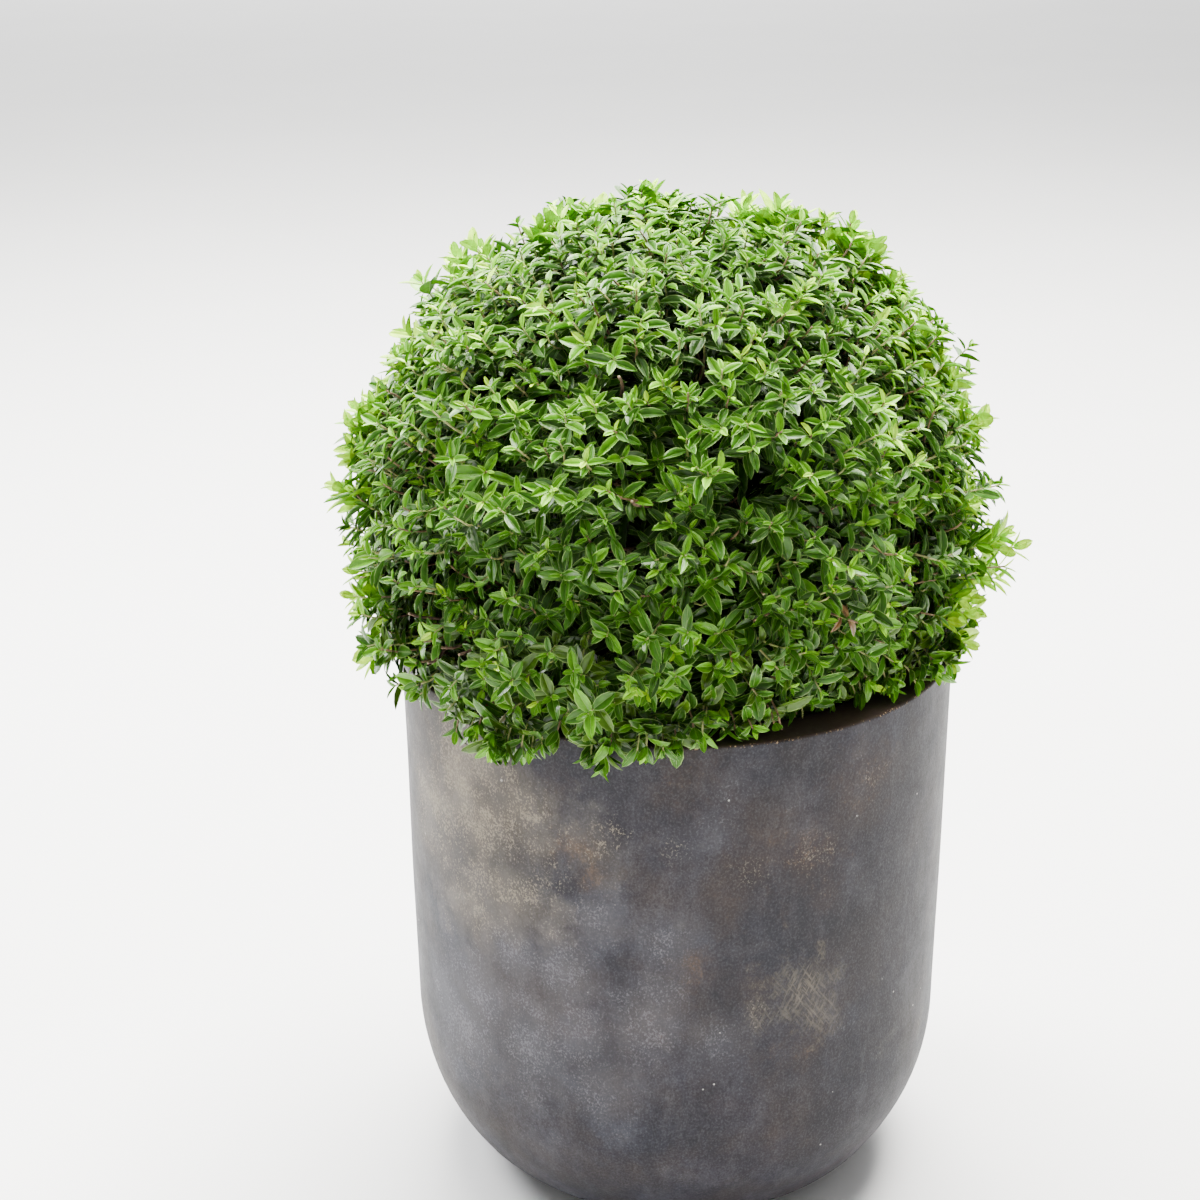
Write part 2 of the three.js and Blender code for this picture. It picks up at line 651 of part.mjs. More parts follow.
SIDES.forEach((name, side) => {
  group.add(namedMesh(`bough_${name}`, toGeometry(wholeBody(boughSolid(side))), BARK_LOOK));
  const core = sideShell.intersect(sectorPrism(side));
  const stub = massStem(boughCurve(side), BOUGH_TIP_RADIUS);
  group.add(namedMesh(`foliage_${name}`, toGeometry(massSolid(side, core, stub)), FOLIAGE_LOOK));
});

const topSolid = massSolid(SIDES.length, coreShell(0, topPolar), massStem(stemCurve, STEM_TIP_RADIUS));
group.add(namedMesh("foliage_top", toGeometry(topSolid), FOLIAGE_LOOK));

export default group;
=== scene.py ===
# A shrubby honeysuckle clipped to a ball, in the round fibre clay planter that it grew on in.
# Metres, +Z up, with the planter standing on its flat underside at the origin and -Y at the front.
import math

import bmesh
import bpy
import numpy as np
from mathutils import Matrix, Vector, noise


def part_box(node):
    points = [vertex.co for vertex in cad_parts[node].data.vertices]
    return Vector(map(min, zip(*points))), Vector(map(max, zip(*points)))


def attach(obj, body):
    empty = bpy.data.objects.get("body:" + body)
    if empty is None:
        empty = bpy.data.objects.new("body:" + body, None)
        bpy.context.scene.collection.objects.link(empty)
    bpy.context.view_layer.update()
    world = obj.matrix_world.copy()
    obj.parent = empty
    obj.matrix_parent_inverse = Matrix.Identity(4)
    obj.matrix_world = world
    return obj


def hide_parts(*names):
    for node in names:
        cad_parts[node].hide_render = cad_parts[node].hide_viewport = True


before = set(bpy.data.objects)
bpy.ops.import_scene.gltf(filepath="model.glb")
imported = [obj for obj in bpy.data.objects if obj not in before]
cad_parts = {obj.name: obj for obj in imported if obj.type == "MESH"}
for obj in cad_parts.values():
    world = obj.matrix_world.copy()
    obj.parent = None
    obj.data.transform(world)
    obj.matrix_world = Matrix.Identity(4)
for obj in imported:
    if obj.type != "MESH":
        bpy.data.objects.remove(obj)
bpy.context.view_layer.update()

# The planter is cast in a mould from fibre clay, with a straight side, a rounded bottom and its rim
# turned in to a broad flat lip. It is stained slate grey and rubbed back, so a paler body shows.
POT_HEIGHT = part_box("pot")[1].z
RIM_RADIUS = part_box("pot")[1].x
SIDE_FOOT_RADIUS = RIM_RADIUS - 0.001
BOTTOM_CURVE_WIDTH = 0.072
BOTTOM_CURVE_HEIGHT = 0.100
WALL = 0.011
FLOOR = 0.014
LIP_WIDTH = 0.022
LIP_DEPTH = 0.016
LIP_ROUND = 0.0016
POT_STEPS = 512
BOTTOM_STEPS = 24
SIDE_RINGS = 16
LIP_RINGS = 7
EDGE_RINGS = 3
RIM_BAND = 0.006
RIM_TAPER = 0.00002
CAST_WAVE = 0.0005
WAVE_FINENESS = 14
WAVE_FADE = 0.03
CHIP_DEPTH = 0.0009
CHIP_REACH = 0.0035
CHIP_FINENESS = 160
CHIP_LEVEL = 0.2
CHIP_DOWNWARD = 0.7
NEAR = 1e-5
SLATE = (0.0370, 0.0340, 0.0420, 1)
SLATE_BLUE = (0.0340, 0.0350, 0.0460, 1)
DEEP_SLATE_AND_SHADE = (0.0190, 0.0180, 0.0200, 1)
BROWN_GREY = (0.048, 0.038, 0.034, 1)
RUBBED_BEIGE = (0.260, 0.222, 0.163, 1)
# Scuffed grey, also used as painted bounce light low on the left.
SCUFFED_GREY_AND_BOUNCE_LIGHT = (0.150, 0.147, 0.163, 1)
RUST = (0.118, 0.076, 0.051, 1)
PALE_GRAIN = (0.60, 0.58, 0.54, 1)
# Partly soil stain, partly painted shadow of the crown over the lip.
LIP_SOIL_AND_SHADE = (0.048, 0.031, 0.022, 1)
CHIPPED_CLAY = (0.40, 0.27, 0.15, 1)

# Soil on the lip, partly a soil stain and partly painted shadow of the crown, and chips at its edge begin
# this far below its top, or in from its outside, and are full at the second depth. The brush's strokes
# have a lean and a scale.
SOIL_AND_SHADE_DOWN = (0.0014, 0.0004)
CHIPS_DOWN = (0.0020, 0.0010)
CHIPS_IN = (0.0016, 0.0008)
BRUSH_MARKS = [(4.5, 75), (-3.2, 88)]
STROKE_STRETCH = 1.4

# Where the stain is rubbed, worn through, scuffed, darker, scratched, rusty or spotted: degrees round
# from the front, height, radius and strength. The darker places are partly thick stain and partly painted
# shade, under the lip and crown and on the right side; the lowest scuffed places on the left are partly
# painted light bounced from the floor. A patch fades out at this many times its radius.
PATCH_FADE = 1.3
RUBBED_PLACES = [
    (-53, 0.292, 0.040, 0.8), (-49, 0.268, 0.050, 1.0), (-42, 0.250, 0.046, 1.0), (-38, 0.222, 0.036, 0.9),
    (-60, 0.245, 0.050, 0.9), (-34, 0.270, 0.028, 0.8), (-48, 0.206, 0.030, 0.8), (-17, 0.254, 0.022, 0.4),
]
WORN_PLACES = [
    (-36, 0.285, 0.016, 0.9), (-32, 0.268, 0.018, 0.9), (-35, 0.222, 0.022, 0.8), (-16, 0.259, 0.016, 0.8),
    (-27, 0.238, 0.020, 0.6), (25, 0.246, 0.018, 0.4), (13, 0.244, 0.014, 0.35), (38, 0.280, 0.014, 0.4),
    (14, 0.164, 0.013, 0.4), (-2, 0.259, 0.012, 0.35), (-24, 0.262, 0.016, 0.5),
]
# Partly scuffed wear; the lowest ones on the left also paint the floor's bounce light as a paler, bluish
# grey.
SCUFFED_AND_BOUNCE_LIT_PLACES = [
    (-17, 0.216, 0.022, 0.8), (-36, 0.183, 0.028, 0.9), (-25, 0.182, 0.028, 0.9), (-7, 0.160, 0.034, 0.9),
    (-22, 0.144, 0.032, 0.8), (-46, 0.150, 0.044, 0.8), (-3, 0.205, 0.022, 0.6), (6, 0.150, 0.03, 0.5),
    (-33, 0.130, 0.046, 0.9), (-18, 0.118, 0.036, 0.6), (-50, 0.120, 0.048, 0.9),
]
# Painted shade: the three on the right darken the side that the light reaches less, partly as thick stain,
# and the last three darken the top under the lip and crown.
DARK_STAIN_AND_SHADE_PLACES = [
    (38, 0.200, 0.095, 0.9), (52, 0.260, 0.070, 0.9), (46, 0.120, 0.080, 0.9), (2, 0.300, 0.046, 0.8),
    (20, 0.296, 0.046, 0.8), (-18, 0.296, 0.034, 0.7),
]
SCRATCHED_PLACES = [(24, 0.169, 0.022, 0.8), (27, 0.156, 0.018, 0.7), (15, 0.160, 0.014, 0.4)]
RUSTY_PLACES = [
    (-20.5, 0.254, 0.016, 1.0), (-18, 0.242, 0.013, 0.8), (2.5, 0.192, 0.013, 0.7), (23, 0.135, 0.016, 0.6),
    (37, 0.281, 0.024, 0.5), (24, 0.245, 0.026, 0.5), (16, 0.258, 0.022, 0.4), (-1, 0.298, 0.024, 0.4),
    (-50, 0.282, 0.020, 0.5), (8, 0.228, 0.018, 0.3), (30, 0.222, 0.020, 0.3), (12, 0.176, 0.016, 0.3),
    (-27, 0.285, 0.016, 0.3),
]
SPOTS = [
    (44.4, 0.165, 0.0011, 0.9), (44.9, 0.157, 0.0012, 0.9), (35.3, 0.262, 0.0008, 0.8),
    (56.1, 0.226, 0.0009, 0.8), (-37.6, 0.282, 0.0011, 0.7), (-19.4, 0.173, 0.0008, 0.7),
    (-2.2, 0.259, 0.0007, 0.7), (-66, 0.222, 0.0013, 0.8),
]


def quarter_curve(centre, width, height, steps):
    """Points of a quarter ellipse, from straight below its centre round to level with it."""
    turns = [i / steps * math.pi / 2 for i in range(steps + 1)]
    return [(centre[0] + width * math.sin(a), centre[1] - height * math.cos(a)) for a in turns]


def straight(start, end, steps):
    """Points between two points of a profile, with the second and without the first."""
    shares = [(i + 1) / steps for i in range(steps)]
    return [(start[0] + (end[0] - start[0]) * s, start[1] + (end[1] - start[1]) * s) for s in shares]


def spun(profile, steps):
    """A closed shell turned about Z from a profile that starts and ends on the axis."""
    bm = bmesh.new()
    verts = [bm.verts.new((radius, 0, height)) for radius, height in profile]
    edges = [bm.edges.new(pair) for pair in zip(verts, verts[1:])]
    bmesh.ops.spin(
        bm, geom=verts + edges, cent=(0, 0, 0), axis=(0, 0, 1), dvec=(0, 0, 0),
        angle=math.tau, steps=steps, use_merge=True, use_duplicate=False,
    )
    bmesh.ops.remove_doubles(bm, verts=bm.verts[:], dist=1e-6)
    bmesh.ops.recalc_face_normals(bm, faces=bm.faces[:])
    return bm


def shown(name, mesh, material):
    """A smooth-shaded object of the mesh, at the origin, in one material."""
    mesh.shade_smooth()
    mesh.materials.append(material)
    piece = bpy.data.objects.new(name, mesh)
    bpy.context.scene.collection.objects.link(piece)
    return piece


def finished(bm, name, material):
    """An object of the bmesh."""
    mesh = bpy.data.meshes.new(name)
    bm.to_mesh(mesh)
    bm.free()
    return shown(name, mesh, material)


class Finish:
    """A material with one Principled shader, and short calls for the nodes that feed it."""

    def __init__(self, name, **values):
        self.material = bpy.data.materials.new(name)
        self.material.use_nodes = True
        self.tree = self.material.node_tree
        self.shader = self.tree.nodes["Principled BSDF"]
        for key, value in values.items():
            self.shader.inputs[key.replace("_", " ")].default_value = value

    def feed(self, socket, value):
        if isinstance(value, bpy.types.NodeSocket):
            self.tree.links.new(value, socket)
        else:
            socket.default_value = value

    def add(self, kind, inputs, output=0, **settings):
        node = self.tree.nodes.new("ShaderNode" + kind)
        for key, value in settings.items():
            setattr(node, key, value)
        for key, value in inputs.items():
            self.feed(node.inputs[key], value)
        return node.outputs[output]

    def place(self, stretch=(1, 1, 1), shift=(0, 0, 0)):
        """Object coordinates, stretched and shifted."""
        coordinates = self.add("TexCoord", {}, "Object")
        return self.add("Mapping", {"Vector": coordinates, "Scale": stretch, "Location": shift})

    def noise(self, scale, detail, roughness, vector=None, **place):
        """Noise on the object's coordinates, or on a vector of its own."""
        vector = vector or self.place(**place)
        values = {"Vector": vector, "Scale": scale, "Detail": detail, "Roughness": roughness}
        return self.add("TexNoise", values)

    def between(self, value, low, high, to_low=0.0, to_high=1.0):
        """The value brought from low..high to another range, and kept inside it."""
        return self.add("MapRange", {0: value, 1: low, 2: high, 3: to_low, 4: to_high})

    def math(self, operation, a, b=0.0):
        return self.add("Math", {0: a, 1: b}, operation=operation)

    def plus(self, a, b):
        return self.math("ADD", a, b)

    def times(self, a, b):
        return self.math("MULTIPLY", a, b)

    def parts(self, vector):
        return {axis: self.add("SeparateXYZ", {0: vector}, axis) for axis in "XYZ"}

    def mix(self, factor, a, b):
        return self.add("Mix", {0: factor, 6: a, 7: b}, 2, data_type="RGBA")

    def coated(self, base, *coats):
        """The base colour under coats, each a share and a colour, laid on in turn."""
        for share, colour in coats:
            base = self.mix(share, base, colour)
        return base

    def bump(self, height, distance, strength=1.0):
        values = {"Height": height, "Distance": distance, "Strength": strength}
        self.feed(self.shader.inputs["Normal"], self.add("Bump", values))

    def colour(self, value):
        self.feed(self.shader.inputs["Base Color"], value)

    def roughness(self, value):
        self.feed(self.shader.inputs["Roughness"], value)


def placed(clay, places, ragged, elsewhere=0.0):
    """A mask that is strongest at these places on the side, and fades out raggedly round them."""
    coordinates = clay.place()
    stretch = clay.between(ragged, 0.3, 0.7, 1.9, 0.5)
    total = elsewhere
    for degrees, height, radius, strength in places:
        turn = math.radians(degrees)
        centre = (RIM_RADIUS * math.sin(turn), -RIM_RADIUS * math.cos(turn), height)
        distance = clay.add("VectorMath", {0: coordinates, 1: centre}, "Value", operation="DISTANCE")
        near = clay.between(clay.times(distance, stretch), radius * PATCH_FADE, 0.0, 0.0, strength)
        total = clay.math("MAXIMUM", near, total)
    return total


def brush_marks(clay, lean, scale):
    """Short strokes that run up the side at a lean, in radians of turn for each metre of height."""
    parts = clay.parts(clay.place())
    turn = clay.plus(clay.math("ARCTAN2", parts["Y"], parts["X"]), clay.times(parts["Z"], lean))
    across = [clay.math(wave, turn) for wave in ("COSINE", "SINE")]
    up = clay.times(parts["Z"], STROKE_STRETCH)
    return clay.noise(scale, 3, 0.65, clay.add("CombineXYZ", {0: across[0], 1: across[1], 2: up}))


def flecked(clay, grain, density, most):
    """Flecks of a fine grain, with none where the density is 0, and more of them as it rises."""
    flecks = clay.between(clay.plus(grain, clay.times(density, 0.25)), 0.63, 0.72, 0.0, most)
    return clay.times(flecks, clay.between(density, 0.0, 0.4))


def fibre_clay():
    clay = Finish("fibre_clay", Specular_IOR_Level=0.08)
    whole = clay.place()
    cloud = clay.noise(9, 5, 0.62, stretch=(1, 1, 1.4))
    warm = clay.noise(16, 5, 0.65, shift=(5.2, 0.6, 2.7))
    haze = clay.noise(24, 6, 0.62, shift=(3.1, 1.7, 0.4))
    streaks = clay.noise(90, 5, 0.7, stretch=(1, 1, 0.3), shift=(0.4, 2.2, 1.3))
    mottle = clay.noise(70, 5, 0.7, shift=(0.4, 2.2, 1.3))
    coarse_grain = clay.noise(420, 4, 0.75, stretch=(1, 1, 0.8))
    grain = clay.noise(900, 3, 0.75, stretch=(1, 1, 0.8), shift=(1, 0, 0))
    strokes = clay.math("MAXIMUM", *[brush_marks(clay, *marks) for marks in BRUSH_MARKS])
    dots = clay.add("TexVoronoi", {"Vector": whole, "Scale": 42.0}, "Distance")

    # Painted light: besides the scuffs, a paler bluish grey low on the left stands in for light bounced
    # from the floor.
    scuffed_and_bounce_lit = placed(clay, SCUFFED_AND_BOUNCE_LIT_PLACES, haze, clay.between(haze, 0.54, 0.72, 0.0, 0.40))
    scuff_and_bounce_density = clay.times(scuffed_and_bounce_lit, clay.between(mottle, 0.36, 0.62, 0.2, 1.0))
    rusty = placed(clay, RUSTY_PLACES, mottle, clay.between(cloud, 0.60, 0.76, 0.0, 0.5))
    rusty = clay.times(rusty, clay.between(mottle, 0.38, 0.60, 0.25, 1.0))
    rubbed = placed(clay, RUBBED_PLACES, haze, clay.between(cloud, 0.38, 0.22, 0.0, 0.6))
    worn = placed(clay, WORN_PLACES, mottle, clay.times(rubbed, 0.9))
    worn = clay.times(worn, clay.between(mottle, 0.34, 0.58, 0.15, 1.0))
    scratches = clay.between(strokes, 0.50, 0.62, 0.12, 0.55)

    height = clay.parts(whole)["Z"]
    from_axis = clay.add("VectorMath", {0: clay.place(stretch=(1, 1, 0))}, "Value", operation="LENGTH")
    on_lip = clay.between(height, *[POT_HEIGHT - down for down in SOIL_AND_SHADE_DOWN])
    at_edge = clay.times(clay.between(height, *[POT_HEIGHT - down for down in CHIPS_DOWN]),
                         clay.between(from_axis, *[RIM_RADIUS - inward for inward in CHIPS_IN]))
    chips = clay.between(clay.noise(900, 2, 0.6), 0.58, 0.64)
    chips = clay.times(chips, clay.between(mottle, 0.44, 0.56))
    clay.colour(clay.coated(
        clay.mix(clay.between(cloud, 0.42, 0.60), SLATE_BLUE, SLATE),
        (clay.between(haze, 0.32, 0.60, 0.8, 0.0), DEEP_SLATE_AND_SHADE),
        (clay.between(warm, 0.46, 0.66, 0.0, 0.75), BROWN_GREY),
        # Painted shade: darker under the lip and crown and down the right side, partly thick stain.
        (clay.times(placed(clay, DARK_STAIN_AND_SHADE_PLACES, haze), 0.85), DEEP_SLATE_AND_SHADE),
        (clay.between(streaks, 0.36, 0.52, 0.30, 0.0), DEEP_SLATE_AND_SHADE),
        (clay.between(streaks, 0.52, 0.70, 0.0, 0.12), SCUFFED_GREY_AND_BOUNCE_LIGHT),
        (clay.between(coarse_grain, 0.36, 0.52, 0.42, 0.0), DEEP_SLATE_AND_SHADE),
        (clay.between(grain, 0.48, 0.66, 0.0, 0.16), SCUFFED_GREY_AND_BOUNCE_LIGHT),
        (clay.between(grain, 0.34, 0.46, 0.42, 0.0), DEEP_SLATE_AND_SHADE),
        (clay.times(scuffed_and_bounce_lit, 0.38), SCUFFED_GREY_AND_BOUNCE_LIGHT),
        (flecked(clay, grain, scuff_and_bounce_density, 0.60), SCUFFED_GREY_AND_BOUNCE_LIGHT),
        (clay.times(rusty, 0.36), RUST),
        (flecked(clay, coarse_grain, rusty, 0.35), RUST),
        (clay.times(rubbed, clay.between(haze, 0.36, 0.62, 0.18, 0.42)), RUBBED_BEIGE),
        (flecked(clay, grain, worn, 0.62), RUBBED_BEIGE),
        (clay.times(placed(clay, SCRATCHED_PLACES, mottle), scratches), RUBBED_BEIGE),
        (clay.times(placed(clay, SPOTS, grain), 0.85), PALE_GRAIN),
        (clay.between(dots, 0.026, 0.016, 0.0, 0.6), PALE_GRAIN),
        # Painted shadow: the lip's top is darkened brown, partly soil stain and partly the crown's shade.
        (clay.times(on_lip, clay.between(haze, 0.30, 0.62, 0.7, 0.95)), LIP_SOIL_AND_SHADE),
        (clay.times(at_edge, chips), CHIPPED_CLAY),
    ))
    clay.roughness(clay.between(clay.plus(mottle, coarse_grain), 0.75, 1.3, 0.44, 0.60))
    relief = mottle
    for layer, share in ((coarse_grain, 0.4), (strokes, 0.35), (grain, 0.25)):
        relief = clay.plus(relief, clay.times(layer, share))
    clay.bump(relief, 0.0004, 0.5)
    return clay.material


def planter_shell():
    curve_centre = (SIDE_FOOT_RADIUS - BOTTOM_CURVE_WIDTH, BOTTOM_CURVE_HEIGHT)
    outside = quarter_curve(curve_centre, BOTTOM_CURVE_WIDTH, BOTTOM_CURVE_HEIGHT, BOTTOM_STEPS)
    inner_size = (BOTTOM_CURVE_WIDTH - WALL, BOTTOM_CURVE_HEIGHT - FLOOR)
    inside = quarter_curve(curve_centre, *inner_size, BOTTOM_STEPS // 2)
    rim = (RIM_RADIUS, POT_HEIGHT)
    under_rim = (RIM_RADIUS - RIM_TAPER, POT_HEIGHT - RIM_BAND)
    mouth = (RIM_RADIUS - LIP_WIDTH, POT_HEIGHT)
    under_lip = (mouth[0], POT_HEIGHT - LIP_DEPTH)
    inner_wall = (RIM_RADIUS - WALL, POT_HEIGHT - LIP_DEPTH - (LIP_WIDTH - WALL) / 2)
    profile = [(0, 0), *straight((0, 0), outside[0], EDGE_RINGS), *outside[1:]]
    profile += straight(outside[-1], under_rim, SIDE_RINGS)
    profile += straight(under_rim, rim, EDGE_RINGS)
    profile += straight(rim, mouth, LIP_RINGS)
    profile += [under_lip, inner_wall, *reversed(inside), (0, FLOOR)]
    bm = spun(profile, POT_STEPS)
    at_corner = {
        vert for vert in bm.verts
        if abs(vert.co.z - POT_HEIGHT) < NEAR
        and min(abs(vert.co.xy.length - radius) for radius in (RIM_RADIUS, mouth[0])) < NEAR
    }
    corners = [edge for edge in bm.edges if at_corner.issuperset(edge.verts)]
    bmesh.ops.bevel(
        bm, geom=corners, offset=LIP_ROUND, affect="EDGES", segments=4, profile=0.5, material=-1,
    )
    for vert in bm.verts:
        place = vert.co.copy()
        from_axis = place.xy.length
        if from_axis < mouth[0] - 10 * NEAR or place.z < NEAR:
            continue
        side = Vector((place.x, place.y, 0)) / from_axis
        wave = CAST_WAVE * (noise.noise(place * WAVE_FINENESS) - 1) * min(1, place.z / WAVE_FADE)
        from_edge = math.hypot(from_axis - RIM_RADIUS, place.z - POT_HEIGHT)
        bite = max(0, noise.noise(place * CHIP_FINENESS) - CHIP_LEVEL) * max(0, 1 - from_edge / CHIP_REACH)
        vert.co += side * wave - (side + Vector((0, 0, CHIP_DOWNWARD))) * bite * CHIP_DEPTH
    return bm


planter = finished(planter_shell(), "planter", fibre_clay())
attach(planter, "root")
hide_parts("pot")

# The compost is dark peat and bark, filled to just under the lip and heaped a little round the stem.
# Its top is crumbly, with loose crumbs and bits of bark on it.
COMPOST_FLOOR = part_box("root_ball")[0].z
COMPOST_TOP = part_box("root_ball")[1].z
COMPOST_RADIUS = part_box("root_ball")[1].x
COMPOST_HEAP = 0.003
COMPOST_STEPS = 200
COMPOST_RINGS = 40
CRUMB_HEIGHT = 0.0022
LUMP_FINENESS = (55, 170)
FINE_LUMPS = 0.6
LUMP_LEVEL = 0.8
CRUMBS = 500
CRUMBS_OUT = 0.98
CRUMB_RADIUS = (0.0008, 0.0032)
CRUMB_STRETCH = (0.5, 1.0)
CRUMB_DENTS = (0.75, 1.25)
PEAT = (0.022, 0.014, 0.009, 1)
BARK_BIT = (0.085, 0.048, 0.027, 1)


def joined(name, points, faces, material):
    """One object from arrays: its points, and a list of face arrays."""
    mesh = bpy.data.meshes.new(name)
    mesh.from_pydata(points.reshape(-1, 3), [], [face for part in faces for face in part.tolist()])
    return shown(name, mesh, material)


def repeated(faces, points_each, count):
    """The faces of one small shape, numbered for each of its copies in turn."""
    return (faces[None] + np.arange(count)[:, None, None] * points_each).reshape(-1, faces.shape[1])


def round_axis(distance, turn, height):
    """Points by their distance from the Z axis, their turn about it from +X, and their height."""
    parts = np.broadcast_arrays(distance * np.cos(turn), distance * np.sin(turn), height)
    return np.stack(parts, axis=-1)


def compost_finish(name, lighter):
    soil = Finish(name, Roughness=0.85)
    fine = soil.noise(380, 5, 0.65)
    coarse = soil.noise(90, 3, 0.6, shift=(0.2, 0.9, 0))
    soil.colour(soil.mix(soil.between(coarse, 0.62 - lighter, 0.75 - lighter), PEAT, BARK_BIT))
    soil.bump(soil.plus(fine, coarse), 0.0015)
    return soil.material


def compost_heap():
    top = COMPOST_TOP - COMPOST_HEAP
    curve_centre = (SIDE_FOOT_RADIUS - BOTTOM_CURVE_WIDTH, BOTTOM_CURVE_HEIGHT)
    width = COMPOST_RADIUS - curve_centre[0]
    side = quarter_curve(curve_centre, width, BOTTOM_CURVE_HEIGHT - COMPOST_FLOOR, BOTTOM_STEPS // 2)
    edge = (COMPOST_RADIUS, top)
    profile = [(0, COMPOST_FLOOR), *side, edge, *straight(edge, (0, top), COMPOST_RINGS)]
    bm = spun(profile, COMPOST_STEPS)
    for vert in bm.verts:
        from_axis = vert.co.xy.length
        if vert.co.z > top - NEAR and from_axis < COMPOST_RADIUS - 10 * NEAR:
            lumps = [noise.noise(vert.co * fineness) for fineness in LUMP_FINENESS]
            heap = COMPOST_HEAP * max(0, 1 - (from_axis / RIM_RADIUS) ** 2)
            vert.co.z += CRUMB_HEIGHT * (lumps[0] + FINE_LUMPS * lumps[1] - LUMP_LEVEL) + heap
    return bm


def loose_crumbs():
    random = np.random.default_rng(3)
    bm = bmesh.new()
    bmesh.ops.create_icosphere(bm, subdivisions=1, radius=1)
    base = np.array([vert.co for vert in bm.verts])
    faces = np.array([[vert.index for vert in face.verts] for face in bm.faces])
    bm.free()
    from_axis = CRUMBS_OUT * COMPOST_RADIUS * np.sqrt(random.random(CRUMBS))
    turn = random.random(CRUMBS) * math.tau
    size = random.uniform(*CRUMB_RADIUS, (CRUMBS, 1)) * random.uniform(*CRUMB_STRETCH, (CRUMBS, 3))
    level = COMPOST_TOP - COMPOST_HEAP * (from_axis / RIM_RADIUS) ** 2 - CRUMB_HEIGHT * LUMP_LEVEL
    rough = base[None] * random.uniform(*CRUMB_DENTS, (CRUMBS, len(base), 1)) * size[:, None]
    points = round_axis(from_axis, turn, level)[:, None] + rough
    faces = repeated(faces, len(base), CRUMBS)
    return joined("compost_crumbs", points, [faces], compost_finish("bark_crumb", 0.2))


compost = finished(compost_heap(), "compost", compost_finish("moist_compost", 0.0))
crumbs = loose_crumbs()
for piece in (compost, crumbs):
    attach(piece, "root")
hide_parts("root_ball")

# The woody frame is one short leaning stem and a bough to each side of the ball. The bark is thin and
# brown, with ridges along the limb, and flakes off in strips.
CROWN_CENTRE = np.array([-0.005, 0.0, POT_HEIGHT + 0.086])
CROWN_RADIUS = 0.163
CROWN_HALF_HEIGHT = 0.146
LOWER_FULLNESS = 2.6
LIP_SHOWS = (math.radians(-54), math.radians(26), -0.6)
OVERHANG = (math.radians(-150), math.radians(34), 0.5)
FRAME_REACH = 0.5
SIDES = ["front", "front_right", "back_right", "back", "back_left", "front_left"]
STEM_RADIUS = 0.008
STEM_TIP_RADIUS = 0.004
STEM_LEAN = 0.007
STEM_SUNK = 0.004
STEM_RINGS = 56
STEM_FLUTES = 2.6
ROOT_FLARE = 0.007
ROOT_FLARE_HEIGHT = 0.009
BOUGH_RADIUS = 0.0046
BOUGH_TIP_RADIUS = 0.0028
LOWEST_BOUGH = 0.014
BOUGH_SPACING = 0.011
BOUGH_END_POLAR = math.radians(84)
BOUGH_RINGS = 40
BOUGH_FLUTES = 2.2
LIMB_SHORT = 0.009
LIMB_SIDES = 20
BARK_RIDGE = 0.0007
RIDGE_STEP = 0.16
FLAKES_ROUND = 5
FLAKE_STEP = 0.5
FLAKE_SHARE = 0.5
BARK_LEVEL = 0.6
GAP = 0.0003
BARK = (0.185, 0.115, 0.068, 1)
BARK_DARK = (0.060, 0.036, 0.022, 1)
BARK_PALE = (0.36, 0.27, 0.18, 1)


def unit(vectors):
    return vectors / np.linalg.norm(vectors, axis=-1, keepdims=True)


def crown_parts(polar, azimuth):
    """The outline's exponent, and its level and rise as shares of the crown's radius and half height."""
    exponent = np.full(np.broadcast(polar, azimuth).shape, LOWER_FULLNESS)
    for place, spread, change in (LIP_SHOWS, OVERHANG):
        away = np.arctan2(np.sin(azimuth - place), np.cos(azimuth - place)) / spread
        exponent = exponent + change * np.exp(-away ** 2)
    exponent = np.where(np.asarray(polar) < math.pi / 2, 2.0, exponent)
    level = np.sin(polar) ** (2 / exponent)
    rise = np.sign(np.cos(polar)) * np.abs(np.cos(polar)) ** (2 / exponent)
    return exponent, level, rise


def crown_point(polar, azimuth, reach):
    """Points of the crown by polar angle, azimuth from +X, and reach as a share of its radius there."""
    _, level, rise = crown_parts(polar, azimuth)
    across, upward = reach * CROWN_RADIUS * level, reach * CROWN_HALF_HEIGHT * rise
    return CROWN_CENTRE + round_axis(across, azimuth, upward)


def crown_outward(polar, azimuth):
    exponent, level, rise = crown_parts(polar, azimuth)
    across = level ** (exponent - 1) / CROWN_RADIUS
    upward = np.sign(rise) * np.abs(rise) ** (exponent - 1) / CROWN_HALF_HEIGHT
    return unit(round_axis(across, azimuth, upward))


def bezier(curves, along):
    """Points of cubic curves, an array of 4 controls each, at places of shape (curves, places)."""
    t = np.asarray(along)[..., None]
    a, b, c, d = (curves[:, i, None] for i in range(4))
    return a * (1 - t) ** 3 + 3 * b * t * (1 - t) ** 2 + 3 * c * t ** 2 * (1 - t) + d * t ** 3


def heading_at(curves, along):
    t = np.asarray(along)[..., None]
    a, b, c, d = (curves[:, i, None] for i in range(4))
    return unit((b - a) * (1 - t) ** 2 + 2 * (c - b) * t * (1 - t) + (d - c) * t ** 2)


